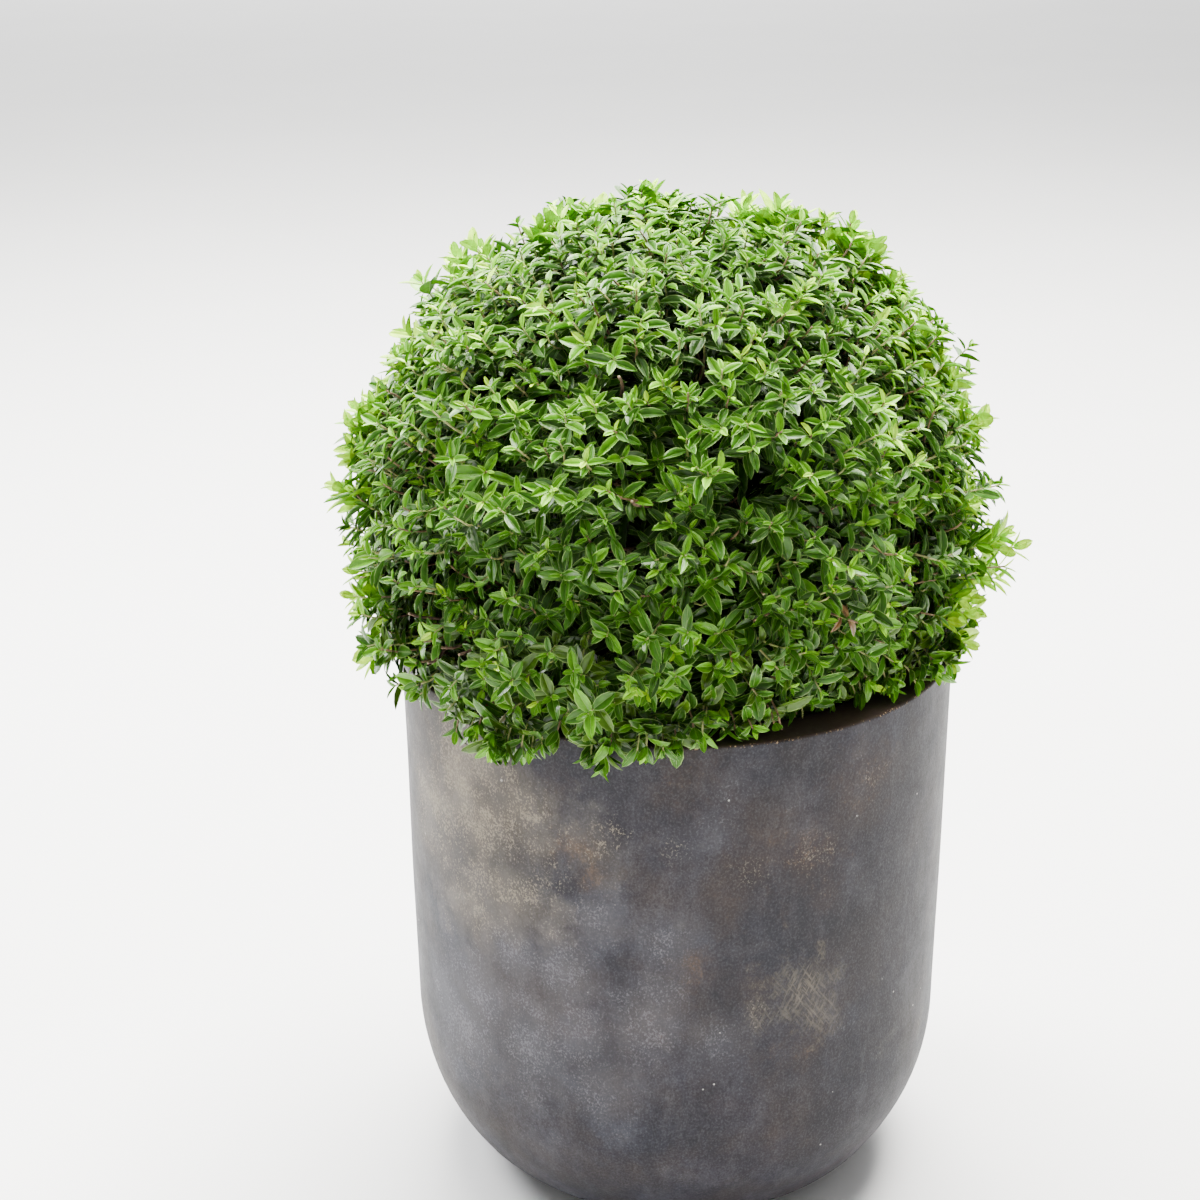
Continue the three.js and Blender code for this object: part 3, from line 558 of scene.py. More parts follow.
def limb_shell(curve, radii, flutes):
    """A round limb: a circle at its foot, extruded ring by ring to its tip, with its bark raised."""
    along = np.linspace(0, 1, len(radii))[None]
    centres = bezier(curve[None], along)[0]
    headings = heading_at(curve[None], along)[0]
    bm = bmesh.new()
    bmesh.ops.create_circle(bm, cap_ends=True, segments=LIMB_SIDES, radius=1)
    edges = bm.edges[:]
    ring = bm.verts[:]
    rings = []
    before = Matrix.Identity(4)
    for centre, heading, radius in zip(centres, headings, radii):
        across = Vector((0, 0, 1)).rotation_difference(Vector(heading))
        after = Matrix.LocRotScale(Vector(centre), across, Vector((radius, radius, radius)))
        if rings:
            grown = bmesh.ops.extrude_edge_only(bm, edges=edges)["geom"]
            ring = [each for each in grown if isinstance(each, bmesh.types.BMVert)]
            edges = [
                each for each in grown
                if isinstance(each, bmesh.types.BMEdge) and set(each.verts) <= set(ring)
            ]
        bmesh.ops.transform(bm, matrix=after @ before.inverted(), verts=ring)
        rings.append((ring, after))
        before = after
    bmesh.ops.contextual_create(bm, geom=edges)
    bmesh.ops.recalc_face_normals(bm, faces=bm.faces[:])
    for step, (ring, after) in enumerate(rings):
        for vert in ring:
            local = after.inverted() @ vert.co
            ridge = noise.noise(Vector((local.x * flutes, local.y * flutes, step * RIDGE_STEP)))
            flake = noise.noise(Vector((local.x * FLAKES_ROUND, local.y * FLAKES_ROUND, step * FLAKE_STEP)))
            local *= 1 + BARK_RIDGE * (ridge + FLAKE_SHARE * flake - BARK_LEVEL) / after.median_scale
            vert.co = after @ Vector((local.x, local.y, 0))
    return bm


def bark_finish(name, tone, dark, pale):
    bark = Finish(name, Roughness=0.8)
    strips = bark.noise(520, 4, 0.65, stretch=(1, 1, 0.18))
    patches = bark.noise(110, 3, 0.6, shift=(0.7, 0.2, 0))
    colour = bark.mix(bark.between(strips, 0.35, 0.6), dark, tone)
    bark.colour(bark.mix(bark.between(patches, 0.55, 0.75, 0.0, 0.7), colour, pale))
    bark.bump(bark.plus(strips, patches), 0.0006)
    return bark.material


stem_foot = np.array([0.0, 0.0, COMPOST_TOP + GAP])
stem_tip = crown_point(0.0, 0.0, FRAME_REACH) - [0, 0, LIMB_SHORT]
stem_rise = (stem_tip[2] - stem_foot[2]) / 3
stem_curve = np.array([
    stem_foot, stem_foot + [0, 0, stem_rise], [STEM_LEAN, STEM_LEAN / 2, stem_tip[2] - stem_rise], stem_tip,
])


def bough_curve(side):
    azimuth = math.radians(-90 + 360 / len(SIDES) * side)
    order = side * 2 % len(SIDES) + side * 2 // len(SIDES)
    along = (LOWEST_BOUGH + order * BOUGH_SPACING) / (stem_tip[2] - stem_foot[2])
    start = bezier(stem_curve[None], [[along]])[0, 0]
    outward = np.array([math.cos(azimuth), math.sin(azimuth), 0])
    end = crown_point(BOUGH_END_POLAR, azimuth, FRAME_REACH) - outward * LIMB_SHORT
    bend = (start + end) / 2 - [0, 0, BOUGH_SPACING]
    return np.array([start, start + (bend - start) * 2 / 3, end + (bend - end) * 2 / 3, end])


bark = bark_finish("bark", BARK, BARK_DARK, BARK_PALE)
stem_share = np.linspace(0, 1, STEM_RINGS)
stem_height = stem_share * (stem_tip[2] - stem_foot[2])
stem_radii = STEM_RADIUS + (STEM_TIP_RADIUS - STEM_RADIUS) * stem_share
stem_radii = stem_radii + ROOT_FLARE * np.exp(-stem_height / ROOT_FLARE_HEIGHT)
sunk_curve = stem_curve.copy()
sunk_curve[0, 2] -= STEM_SUNK
stem = finished(limb_shell(sunk_curve, stem_radii, STEM_FLUTES), "stem_bark", bark)
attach(stem, "root")
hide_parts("stem")
bough_curves = np.array([bough_curve(side) for side in range(len(SIDES))])
bough_radii = np.linspace(BOUGH_RADIUS, BOUGH_TIP_RADIUS, BOUGH_RINGS)
for side, curve in zip(SIDES, bough_curves):
    bough = finished(limb_shell(curve, bough_radii, BOUGH_FLUTES), "bark_" + side, bark)
    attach(bough, "root")
    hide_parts("bough_" + side)

# Branches and branchlets fork on from the boughs, each leaving its parent along it and bending out to
# its own place in the ball. They carry every shoot.
GOLDEN_ANGLE = math.pi * (3 - math.sqrt(5))
FRAME_LOWEST = math.radians(122)
LEAVING = (0.45, 1.0)
PULL = 0.34
TWIG_CLEAR = 0.0012
CURVE_MARKS = 12

# How many branches there are, their reach as a share of the ball's radius, its spread, and the jitter
# of their places in radians. A twig has a foot and a tip radius, and a number of sides and of rings.
BRANCHES = {"count": 56, "reach": 0.62, "spread": (0.9, 1.06), "jitter": 0.12}
BRANCHLETS = {"count": 330, "reach": 0.80, "spread": (0.93, 1.04), "jitter": 0.05}
BRANCH_TWIG = (0.0024, 0.0015, 10, 14)
BRANCHLET_TWIG = (0.0014, 0.0009, 7, 10)
BRANCH_BARK = (0.150, 0.085, 0.050, 1)
BRANCH_DARK = (0.055, 0.030, 0.018, 1)
BRANCH_PALE = (0.33, 0.22, 0.13, 1)

random = np.random.default_rng(25)


def lattice(count, lowest, jitter):
    """Directions a golden angle apart from the top down, each moved a little by chance."""
    order = np.arange(count)
    polar = np.arccos(1 - (order + 0.5) / count * (1 - math.cos(lowest)))
    azimuth = order * GOLDEN_ANGLE + random.uniform(-jitter, jitter, count) / np.sin(polar)
    return np.abs(polar + random.uniform(-jitter, jitter, count)), azimuth


def grown_from(parents, ends, headings):
    """Curves that leave the nearest parent's outer half along it and bend out to their own ends."""
    nearest = np.linalg.norm(ends[:, None] - parents[None, :, 3], axis=-1).argmin(axis=1)
    along = random.uniform(*LEAVING, (len(ends), 1))
    start = bezier(parents[nearest], along)[:, 0]
    leaving = heading_at(parents[nearest], along)[:, 0]
    pull = PULL * np.linalg.norm(ends - start, axis=-1, keepdims=True)
    return np.stack([start, start + leaving * pull, ends - headings * pull, ends], axis=1)


def clear_of_pot(points, room):
    from_axis = np.linalg.norm(points[..., :2], axis=-1)
    in_mouth = (from_axis < RIM_RADIUS - LIP_WIDTH - room) & (points[..., 2] > COMPOST_TOP + room)
    return (points[..., 2] > POT_HEIGHT + room) | (from_axis > RIM_RADIUS + room) | in_mouth


def clear_curves(curves):
    """The curves that pass clear of the planter and the compost."""
    marks = bezier(curves, np.linspace(0, 1, CURVE_MARKS)[None])
    return curves[clear_of_pot(marks, TWIG_CLEAR).all(axis=1)]


def tubes(curves, foot_radius, tip_radius, sides, rings):
    """Points and faces of tapering round twigs along the curves, closed at both ends."""
    along = np.linspace(0, 1, rings)[None]
    centres = bezier(curves, along)
    headings = heading_at(curves, along)
    chord = np.abs(curves[:, 3] - curves[:, 0])
    guide = np.eye(3)[chord.argmin(axis=1)][:, None]
    side = unit(np.cross(headings, guide))
    up = np.cross(side, headings)
    turn = np.arange(sides) / sides * math.tau
    circle = side[:, :, None] * np.cos(turn)[:, None] + up[:, :, None] * np.sin(turn)[:, None]
    radius = foot_radius + (tip_radius - foot_radius) * along
    points = centres[:, :, None] + circle * radius[..., None, None]
    ring, place = np.meshgrid(np.arange(rings - 1), np.arange(sides), indexing="ij")
    beside = (place + 1) % sides
    quads = np.stack([ring * sides + place, (ring + 1) * sides + place,
                      (ring + 1) * sides + beside, ring * sides + beside], axis=-1).reshape(-1, 4)
    foot = np.arange(sides)[None]
    tip = (rings - 1) * sides + np.arange(sides)[::-1][None]
    each = rings * sides
    return points, [repeated(quads, each, len(curves)), repeated(foot, each, len(curves)),
                    repeated(tip, each, len(curves))]


def forked(parents, count, reach, spread, jitter):
    """Branches that fork on from their parents to ends spread evenly round the ball."""
    polar, azimuth = lattice(count, FRAME_LOWEST, jitter)
    ends = crown_point(polar, azimuth, reach * random.uniform(*spread, count))
    return clear_curves(grown_from(parents, ends, crown_outward(polar, azimuth)))


branches = forked(np.concatenate([bough_curves, stem_curve[None]]), **BRANCHES)
branchlets = forked(branches, **BRANCHLETS)
branch_bark = bark_finish("branch_bark", BRANCH_BARK, BRANCH_DARK, BRANCH_PALE)
branch_pieces = [
    joined("branches", *tubes(branches, *BRANCH_TWIG), branch_bark),
    joined("branchlets", *tubes(branchlets, *BRANCHLET_TWIG), branch_bark),
]
for piece in branch_pieces:
    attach(piece, "root")

# The shoots are this year's growth, thin and green, red-brown where they are older. The shears keep
# them to a ball, but for a few strays, and the lowest fringe lies out over the rim.
CLIPPED = [
    {"count": 2080, "lowest": math.radians(134), "jitter": 0.05, "reach": 0.965, "spread": 0.034},
    {"count": 900, "lowest": math.radians(134), "jitter": 0.07, "reach": 0.86, "spread": 0.04},
    {"count": 500, "lowest": math.radians(128), "jitter": 0.1, "reach": 0.72, "spread": 0.05},
    {"count": 320, "lowest": math.radians(124), "jitter": 0.14, "reach": 0.56, "spread": 0.05},
]
SPREAD_LIMITS = (-2, 2.2)
LUMPS = 0.11
LUMPS_FINENESS = 22
SWAY = 0.28
LEFT_IN_GAPS = 0.2
UPWARD_TURN = 0.55
DROOP_FROM = math.radians(96)
DROOP = 1.3

# Sprigs and the fringe by azimuth in degrees, and then by polar angle and reach, or by the distance
# from the axis and the height over the rim. Each sprig is several shoots, these much shorter in turn.
STRAY_SPRIGS = [
    (-15, 94, 1.16), (-12, 100, 1.12), (-20, 88, 1.06), (-18, 108, 1.10), (-23, 116, 1.06),
    (-7, 75, 1.06), (-2, 64, 1.03), (1, 56, 1.03), (7, 46, 1.03), (12, 35, 1.12), (10, 37, 1.06),
    (19, 26, 1.07), (25, 23, 1.05), (37, 18, 1.03), (87, 12, 1.02), (104, 12, 1.07), (140, 17, 1.05),
    (149, 22, 1.04), (157, 27, 1.04), (167, 38, 1.08), (169, 42, 1.10), (-179, 60, 1.04),
    (-176, 78, 1.08), (-178, 74, 1.06), (-171, 90, 1.10), (-167, 103, 1.09), (-163, 111, 1.10),
    (-158, 119, 1.12), (-174, 84, 1.07), (60, 40, 1.06), (55, 78, 1.08), (128, 92, 1.07),
    (95, 60, 1.05), (75, 100, 1.07), (110, 34, 1.05), (11, 36, 1.10), (13, 34, 1.05),
    (22, 26, 1.06), (-176, 80, 1.06), (-177, 76, 1.06), (-20, 104, 1.06), (3, 50, 1.04),
    (30, 62, 1.06), (48, 24, 1.05), (72, 68, 1.06), (90, 84, 1.05), (100, 46, 1.06), (118, 66, 1.07),
    (142, 48, 1.05), (150, 76, 1.06), (36, 96, 1.07), (132, 106, 1.06), (62, 54, 1.05), (108, 98, 1.06),
]
FRINGE_SHOOTS = [
    (-172, 0.146, 0.034), (-166, 0.147, 0.034), (-160, 0.146, 0.032), (-154, 0.144, 0.030),
    (-149, 0.137, 0.034), (-144, 0.135, 0.030), (-138, 0.138, 0.024), (-132, 0.160, 0.001),
    (-130, 0.163, -0.007), (-126, 0.163, -0.003), (-122, 0.164, -0.010), (-116, 0.160, -0.003),
    (-109, 0.160, -0.004), (-105, 0.159, 0.000), (-98, 0.158, 0.001), (-92, 0.156, 0.005),
    (-86, 0.152, 0.006), (-80, 0.145, 0.005), (-72, 0.147, 0.004), (-66, 0.137, 0.004),
    (-58, 0.135, 0.006), (-50, 0.137, 0.006), (-44, 0.144, 0.007), (-38, 0.150, 0.008),
    (-32, 0.154, 0.008), (-26, 0.156, 0.010), (-20, 0.156, 0.012), (-14, 0.154, 0.014),
    (-8, 0.156, 0.014),
]
BACK_FRINGE = (-6, 178, 8)
BACK_FRINGE_OUT = (0.150, 0.160)
BACK_FRINGE_UP = (0.004, 0.020)
FRINGE_COPIES = 3
FRINGE_JITTER = (2.2, 0.003)
FRINGE_BEND = (0.004, 0.016)
GAP_PLACES = [
    (-102, 82), (-79, 70), (-76, 74), (-78, 94), (-107, 91), (-112, 69), (-136, 107), (-60, 86),
    (-83, 46), (-97, 78), (-66, 75), (-133, 91), (-52, 82), (-123, 47), (-150, 98), (-143, 124),
]
GAP_REACH = 0.009
SPRIG_SHOOTS = [0.0, 0.02, 0.035, 0.05, 0.07, 0.09]
SPRIG_JITTER = 2.6
STRAY_SHORT = 0.03
SINGLE_STRAYS = 70
SINGLE_POLAR = (8, 100)
SINGLE_REACH = (1.02, 1.085)
CUT_TWIGS = 16
CUT_TWIG_POLAR = (20, 112)
CUT_TWIG_REACH = (0.94, 1.0)
CUT_TWIG_SWAY = 0.3
CUT_TWIG_PLACES = [
    (-82, 59), (-150, 100), (-141, 106), (-133, 103), (-127, 110), (-75, 92), (-98, 74), (-40, 100),
]
SHOOT_WOOD = (0.30, 0.19, 0.09, 1)
SHOOT_WOOD_DARK = (0.12, 0.065, 0.035, 1)
SHOOT_GREEN = (0.30, 0.38, 0.09, 1)
SHOOT_TAN = (0.42, 0.36, 0.16, 1)
CUT_WOOD = (0.42, 0.32, 0.18, 1)
CUT_WOOD_DARK = (0.26, 0.17, 0.09, 1)
GREEN_SHARE = 0.7
GREEN_TWIG = (0.00075, 0.0004, 5, 7)
BROWN_TWIG = (0.00085, 0.00045, 5, 7)
INNER_TWIG = (0.00085, 0.00045, 4, 5)
CUT_TWIG = (0.0011, 0.0007, 7, 9)
CUT_END = (0.0007, 0.00065, 7, 2)
CUT_END_PLACES = [0.0, 0.0001, 0.0003, 0.0005]


def shoot_headings(polar, azimuth):
    """Shoots turn up towards the light, and those of the lowest part droop."""
    droop = np.clip(polar - DROOP_FROM, 0, None) * DROOP
    turn = np.where(polar < DROOP_FROM, UPWARD_TURN * np.sin(polar), UPWARD_TURN - droop)
    return unit(crown_outward(polar, azimuth) + turn[:, None] * [0, 0, 1])


def from_nearest(points, places):
    """How far each point is from the nearest of these places on the crown."""
    azimuth, polar = np.radians(places).T
    return np.linalg.norm(points[:, None] - crown_point(polar, azimuth, 1.0)[None], axis=-1).min(axis=1)


def clipped_shoots(count, lowest, jitter, reach, spread):
    """Shoots cut to one reach, a little more or less in lumps and one by one."""
    polar, azimuth = lattice(count, lowest, jitter)
    even = crown_point(polar, azimuth, 1.0)
    lumps = np.array([noise.noise(Vector(point) * LUMPS_FINENESS) for point in even])
    shortest, longest = (limit * spread for limit in SPREAD_LIMITS)
    reach = reach + LUMPS * lumps + np.clip(random.normal(0, spread, count), shortest, longest)
    ends = crown_point(polar, azimuth, reach)
    headings = unit(shoot_headings(polar, azimuth) + random.normal(0, SWAY, (count, 3)))
    in_gap = from_nearest(even, GAP_PLACES) < GAP_REACH
    shoots = grown_from(branchlets, ends, headings)
    return clear_curves(shoots[~in_gap | (random.random(count) < LEFT_IN_GAPS)])


def stray_shoots(places):
    """Shoots that the shears missed, which end at these azimuths, polar angles and reaches."""
    azimuth, polar = np.radians(places[:, :2]).T
    ends = crown_point(polar, azimuth, places[:, 2] - STRAY_SHORT)
    return clear_curves(grown_from(branchlets, ends, shoot_headings(polar, azimuth)))


def fringe_shoots():
    """Shoots that lie out over the rim: each is led over it first, and then hangs a little."""
    turns = np.arange(*BACK_FRINGE)
    around = np.stack([
        turns, random.uniform(*BACK_FRINGE_OUT, len(turns)), random.uniform(*BACK_FRINGE_UP, len(turns)),
    ], axis=-1)
    fringe = np.concatenate([FRINGE_SHOOTS, around]).repeat(FRINGE_COPIES, axis=0)
    turn_jitter, jitter = FRINGE_JITTER
    azimuth = np.radians(fringe[:, 0] + random.normal(0, turn_jitter, len(fringe)))
    distance = fringe[:, 1] - np.abs(random.normal(0, jitter, len(fringe)))
    height = POT_HEIGHT + fringe[:, 2] + random.normal(0, jitter, len(fringe))
    ends = round_axis(distance, azimuth, height)
    curves = grown_from(branchlets, ends, round_axis(1.0, azimuth, 0.0))
    back, up = FRINGE_BEND
    curves[:, 2] = round_axis(distance - back, azimuth, np.maximum(height, POT_HEIGHT) + up)
    return clear_curves(curves)


def cut_twigs():
    """Older twigs that the shears have cut bare, among the shoots."""
    by_chance = np.stack([
        random.uniform(-180, 180, CUT_TWIGS), random.uniform(*CUT_TWIG_POLAR, CUT_TWIGS),
    ], axis=-1)
    places = np.radians(np.concatenate([CUT_TWIG_PLACES, by_chance]))
    azimuth, polar = places[:, 0], places[:, 1]
    ends = crown_point(polar, azimuth, random.uniform(*CUT_TWIG_REACH, len(places)))
    sway = random.normal(0, CUT_TWIG_SWAY, (len(places), 3))
    return clear_curves(grown_from(branchlets, ends, unit(shoot_headings(polar, azimuth) + sway)))


outer, middle, inner, heart = [clipped_shoots(**layer) for layer in CLIPPED]
sprig_places = np.repeat(STRAY_SPRIGS, len(SPRIG_SHOOTS), axis=0)
sprig_places[:, :2] += random.normal(0, SPRIG_JITTER, (len(sprig_places), 2))
sprig_places[:, 2] -= np.tile(SPRIG_SHOOTS, len(STRAY_SPRIGS))
sprigs = stray_shoots(sprig_places)
singles = stray_shoots(np.stack([
    random.uniform(-180, 180, SINGLE_STRAYS), random.uniform(*SINGLE_POLAR, SINGLE_STRAYS),
    random.uniform(*SINGLE_REACH, SINGLE_STRAYS),
], axis=-1))

# Each shoot is of one kind, which numbers the lists by kind below.
CLIPPED_OUTER, SPRIG, FRINGE, MIDDLE, INNER = range(5)
layers = [
    (outer, CLIPPED_OUTER), (singles, CLIPPED_OUTER), (sprigs, SPRIG), (fringe_shoots(), FRINGE),
    (middle, MIDDLE), (inner, INNER), (heart, INNER),
]
shoots = np.concatenate([layer for layer, _ in layers])
kinds = np.concatenate([np.full(len(layer), kind) for layer, kind in layers])


def shoot_finish(name, tone, dark):
    wood = Finish(name, Roughness=0.55)
    patches = wood.noise(160, 3, 0.6)
    grain = wood.noise(900, 3, 0.6, shift=(0.4, 0, 0))
    wood.colour(wood.mix(wood.between(patches, 0.35, 0.65), dark, tone))
    wood.bump(grain, 0.0003)
    return wood.material


is_outer = kinds < MIDDLE
is_green = is_outer & (random.random(len(shoots)) < GREEN_SHARE)
green_shoot = shoot_finish("green_shoot", SHOOT_GREEN, SHOOT_TAN)
brown_shoot = shoot_finish("brown_shoot", SHOOT_WOOD, SHOOT_WOOD_DARK)
cut_wood = shoot_finish("cut_wood", CUT_WOOD, CUT_WOOD_DARK)
cut = cut_twigs()
cut_ends = cut[:, 3:] + heading_at(cut, np.ones((len(cut), 1))) * np.array(CUT_END_PLACES)[:, None]
shoot_pieces = [
    joined("green_shoots", *tubes(shoots[is_green], *GREEN_TWIG), green_shoot),
    joined("brown_shoots", *tubes(shoots[is_outer & ~is_green], *BROWN_TWIG), brown_shoot),
    joined("inner_shoots", *tubes(shoots[~is_outer], *INNER_TWIG), brown_shoot),
    joined("cut_twigs", *tubes(cut, *CUT_TWIG), branch_bark),
    joined("cut_ends", *tubes(cut_ends, *CUT_END), cut_wood),
]
for piece in shoot_pieces:
    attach(piece, "root")

# The leaves stand in crossed pairs, small and thick, folded along the midrib, with a gloss on top and
# a pale edge, partly the margin's own colour and partly a painted highlight of the glossy rolled edge. The
# youngest are the palest, and those low down are rounder and duller.
LEAF_STATIONS = [0.0, 0.14, 0.36, 0.60, 0.84, 1.0]
LEAF_OUTLINE = [0.05, 0.60, 0.97, 0.97, 0.62, 0.0]
PAIR_PLACES = [0.0010, 0.0030, 0.0068, 0.0114, 0.0166, 0.0222]
PAIR_SIZES = [0.55, 0.80, 1.0, 1.0, 0.96, 0.92]
PAIR_LEANS = [0.50, 0.85, 1.12, 1.28, 1.38, 1.45]
LEAF_LENGTH = 0.0132
LEAF_CLEAR = 0.0006
LEAF_SPREAD = 0.14
LEAF_LIMITS = (0.7, 1.35)
TWIN_SPREAD = 0.06
LEAF_MISSING = 0.04
FOOT_BARE = 0.002
TURN_JITTER = 0.16
LEAN_JITTER = 0.13
PAIR_STRETCH = (0.85, 1.2)
WIDTHS = (0.37, 0.47)
FOLDS = (0.42, 0.72)
CURLS = (0.02, 0.16)
MARKS_ALONG = 40

# Leaves low on the ball are wider and flatter, and so are those of a sprig, which also lean closer to
# it and stand further apart. By kind of shoot, leaves turn to the light and differ in size.
LOW_REACH = 0.075
LOW_WIDER = 0.08
LOW_FLATTER = 0.5
SPRIG_WIDER = 0.05
SPRIG_FLATTER = 0.4
SPRIG_LEAN = 0.74
SPRIG_STRETCH = 1.45
INNER_PAIRS = 4
LIGHT_TURNS = np.array([0.40, 0.12, 0.50, 0.50, 0.50])
OUTWARD_TURN = 0.5
SIZES = np.array([1.0, 1.20, 1.12, 1.05, 1.45])

# A leaf's tone goes by its age: by the pair that it stands in, less the vigour of its shoot. Sprigs are the
# most vigorous; shoots at the tops and sides of the ball get more as painted light, so their leaves are
# paler.
PAIR_AGE = 0.9
AGE_SPREAD = 0.4
KIND_AGES = np.array([0.0, 0.0, 0.0, 2.0, 3.2])
AGE_STEPS = [-0.9, -0.2, 1.0, 2.5, 3.5, 4.5]
AGE_TONES = np.array(["tip", "young", "fresh", "mid", "deep", "dark", "old"])
OLIVE_LOW = 0.35
OLIVE_AGE = 1.6
OLIVE_SHARE = 0.4
VIGOUR = -0.25
VIGOUR_SPREAD = 0.4
VIGOUR_FINENESS = 30
VIGOUR_SHIFT = Vector((7, 1, 4))
RIGHT_FROM = -0.02
SPRIG_VIGOUR = (2.3, 2.0)
# Painted light: shoots at the sides and the top are given paler, younger tones, as if lit more strongly
# there.
SIDE_FROM = 0.09
SIDE_PAINTED_LIGHT = 0.45
TOP_FROM = 0.1
TOP_SPAN = 0.12
TOP_PAINTED_LIGHT = 0.8
YOUNG_VIGOUR = 1.6
LEAF_TONES = {
    "old": ((0.010, 0.040, 0.001), 0.12),
    "dark": ((0.014, 0.054, 0.001), 0.28),
    "deep": ((0.018, 0.070, 0.001), 0.36),
    "mid": ((0.030, 0.120, 0.001), 0.42),
    "fresh": ((0.082, 0.260, 0.001), 0.42),
    "young": ((0.205, 0.490, 0.006), 0.3),
    "tip": ((0.44, 0.74, 0.02), 0.1),
    "olive": ((0.042, 0.100, 0.002), 0.3),
    "withered": ((0.170, 0.085, 0.035), 0.0),
}
MOTTLE_SHARES = (0.78, 1.25)
# Partly the margin's own paler green, partly a painted highlight where the rolled edge catches light.
PALE_EDGE_AND_GLINT = (0.56, 0.80, 0.24)
GLOSS_TINT = (0.75, 1.0, 0.50, 1)
YOUNG_PLACES = [
    (-68, 68), (-48, 99), (-98, 106), (-78, 69), (-66, 95), (-112, 42), (-128, 60), (-85, 30), (-40, 55),
]
YOUNG_REACH = 0.007
WITHERED_PLACES = [(-60, 100), (-85, 104), (-128, 112)]
WITHERED_REACH = 0.0050
WITHERED_SIZE = 0.55
WITHERED_CURL = 0.5


def leaf_blade():
    """One leaf made from a grid: its points, and its triangles and quads with their places on it."""
    bm = bmesh.new()
    bmesh.ops.create_grid(bm, x_segments=len(LEAF_STATIONS) - 1, y_segments=2, size=1)
    places = bm.loops.layers.uv.new("place")
    for vert in bm.verts:
        station = round((vert.co.x + 1) / 2 * (len(LEAF_STATIONS) - 1))
        for loop in vert.link_loops:
            loop[places].uv = (LEAF_STATIONS[station], (vert.co.y + 1) / 2)
        vert.co = (LEAF_STATIONS[station], vert.co.y * LEAF_OUTLINE[station], 0)
    bmesh.ops.remove_doubles(bm, verts=bm.verts[:], dist=1e-5)
    bm.verts.index_update()
    points = np.array([vert.co for vert in bm.verts])
    by_sides = [[face for face in bm.faces if len(face.verts) == sides] for sides in (3, 4)]
    faces = [np.array([[vert.index for vert in face.verts] for face in part]) for part in by_sides]
    uvs = [np.array([loop[places].uv for face in part for loop in face.loops]) for part in by_sides]
    bm.free()
    return points, faces, uvs


blade, blade_faces, blade_uvs = leaf_blade()


def shoot_nodes(curves, distances):
    """The points on each curve at these distances back from its tip, and its headings there."""
    along = np.linspace(1, 0, MARKS_ALONG)
    marks = bezier(curves, along[None])
    steps = np.linalg.norm(np.diff(marks, axis=1), axis=-1)
    gone = np.concatenate([np.zeros((len(curves), 1)), steps.cumsum(axis=1)], axis=1)
    at = np.stack([np.interp(row, back, along) for row, back in zip(distances, gone)])
    return bezier(curves, at), heading_at(curves, at), gone[:, -1]


def grow_leaves(curves, kinds):
    """Every leaf of the shoots: its node, its own axes, its size, and its shoot and pair."""
    count, pairs = len(curves), len(PAIR_PLACES)
    on_sprig = (kinds == SPRIG)[:, None]
    stretch = random.uniform(*PAIR_STRETCH, (count, 1)) * np.where(on_sprig, SPRIG_STRETCH, 1.0)
    distances = np.array(PAIR_PLACES) * stretch
    nodes, headings, lengths = shoot_nodes(curves, distances)
    first = random.random((count, 1)) * math.pi
    turn = first + np.arange(pairs) * math.pi / 2
    turn = turn[..., None] + [0, math.pi] + random.normal(0, TURN_JITTER, (count, pairs, 2))
    guide = unit(np.cross(headings, np.eye(3)[np.abs(headings).argmin(axis=-1)]))
    other = np.cross(headings, guide)
    across = guide[:, :, None] * np.cos(turn)[..., None] + other[:, :, None] * np.sin(turn)[..., None]
    lean = np.array(PAIR_LEANS)[:, None] + random.normal(0, LEAN_JITTER, (count, pairs, 2))
    lean = lean * np.where(on_sprig, SPRIG_LEAN, 1.0)[..., None]
    heading = headings[:, :, None]
    along = heading * np.cos(lean)[..., None] + across * np.sin(lean)[..., None]
    face = heading * np.sin(lean)[..., None] - across * np.cos(lean)[..., None]
    outward = unit(nodes - CROWN_CENTRE)[:, :, None] * OUTWARD_TURN + [0, 0, 1]
    face = unit(face + LIGHT_TURNS[kinds][:, None, None, None] * outward)
    along = unit(along - face * (along * face).sum(axis=-1, keepdims=True))
    on_shoot = (distances < lengths[:, None] - FOOT_BARE)[..., None]
    grown = on_shoot & (random.random((count, pairs, 2)) > LEAF_MISSING)
    fewer = np.where(kinds >= MIDDLE, INNER_PAIRS, pairs)
    grown &= (np.arange(pairs)[None] < fewer[:, None])[..., None]
    size = random.normal(1, LEAF_SPREAD, (count, pairs)).clip(*LEAF_LIMITS) * SIZES[kinds][:, None]
    size = (LEAF_LENGTH * size * PAIR_SIZES)[..., None] * random.normal(1, TWIN_SPREAD, grown.shape)
    table = {
        "node": nodes[:, :, None], "along": along, "face": face, "size": size,
        "shoot": np.arange(count)[:, None, None], "pair": np.arange(pairs)[None, :, None],
    }
    shape = grown.shape
    return {key: np.broadcast_to(part, shape + part.shape[3:])[grown] for key, part in table.items()}


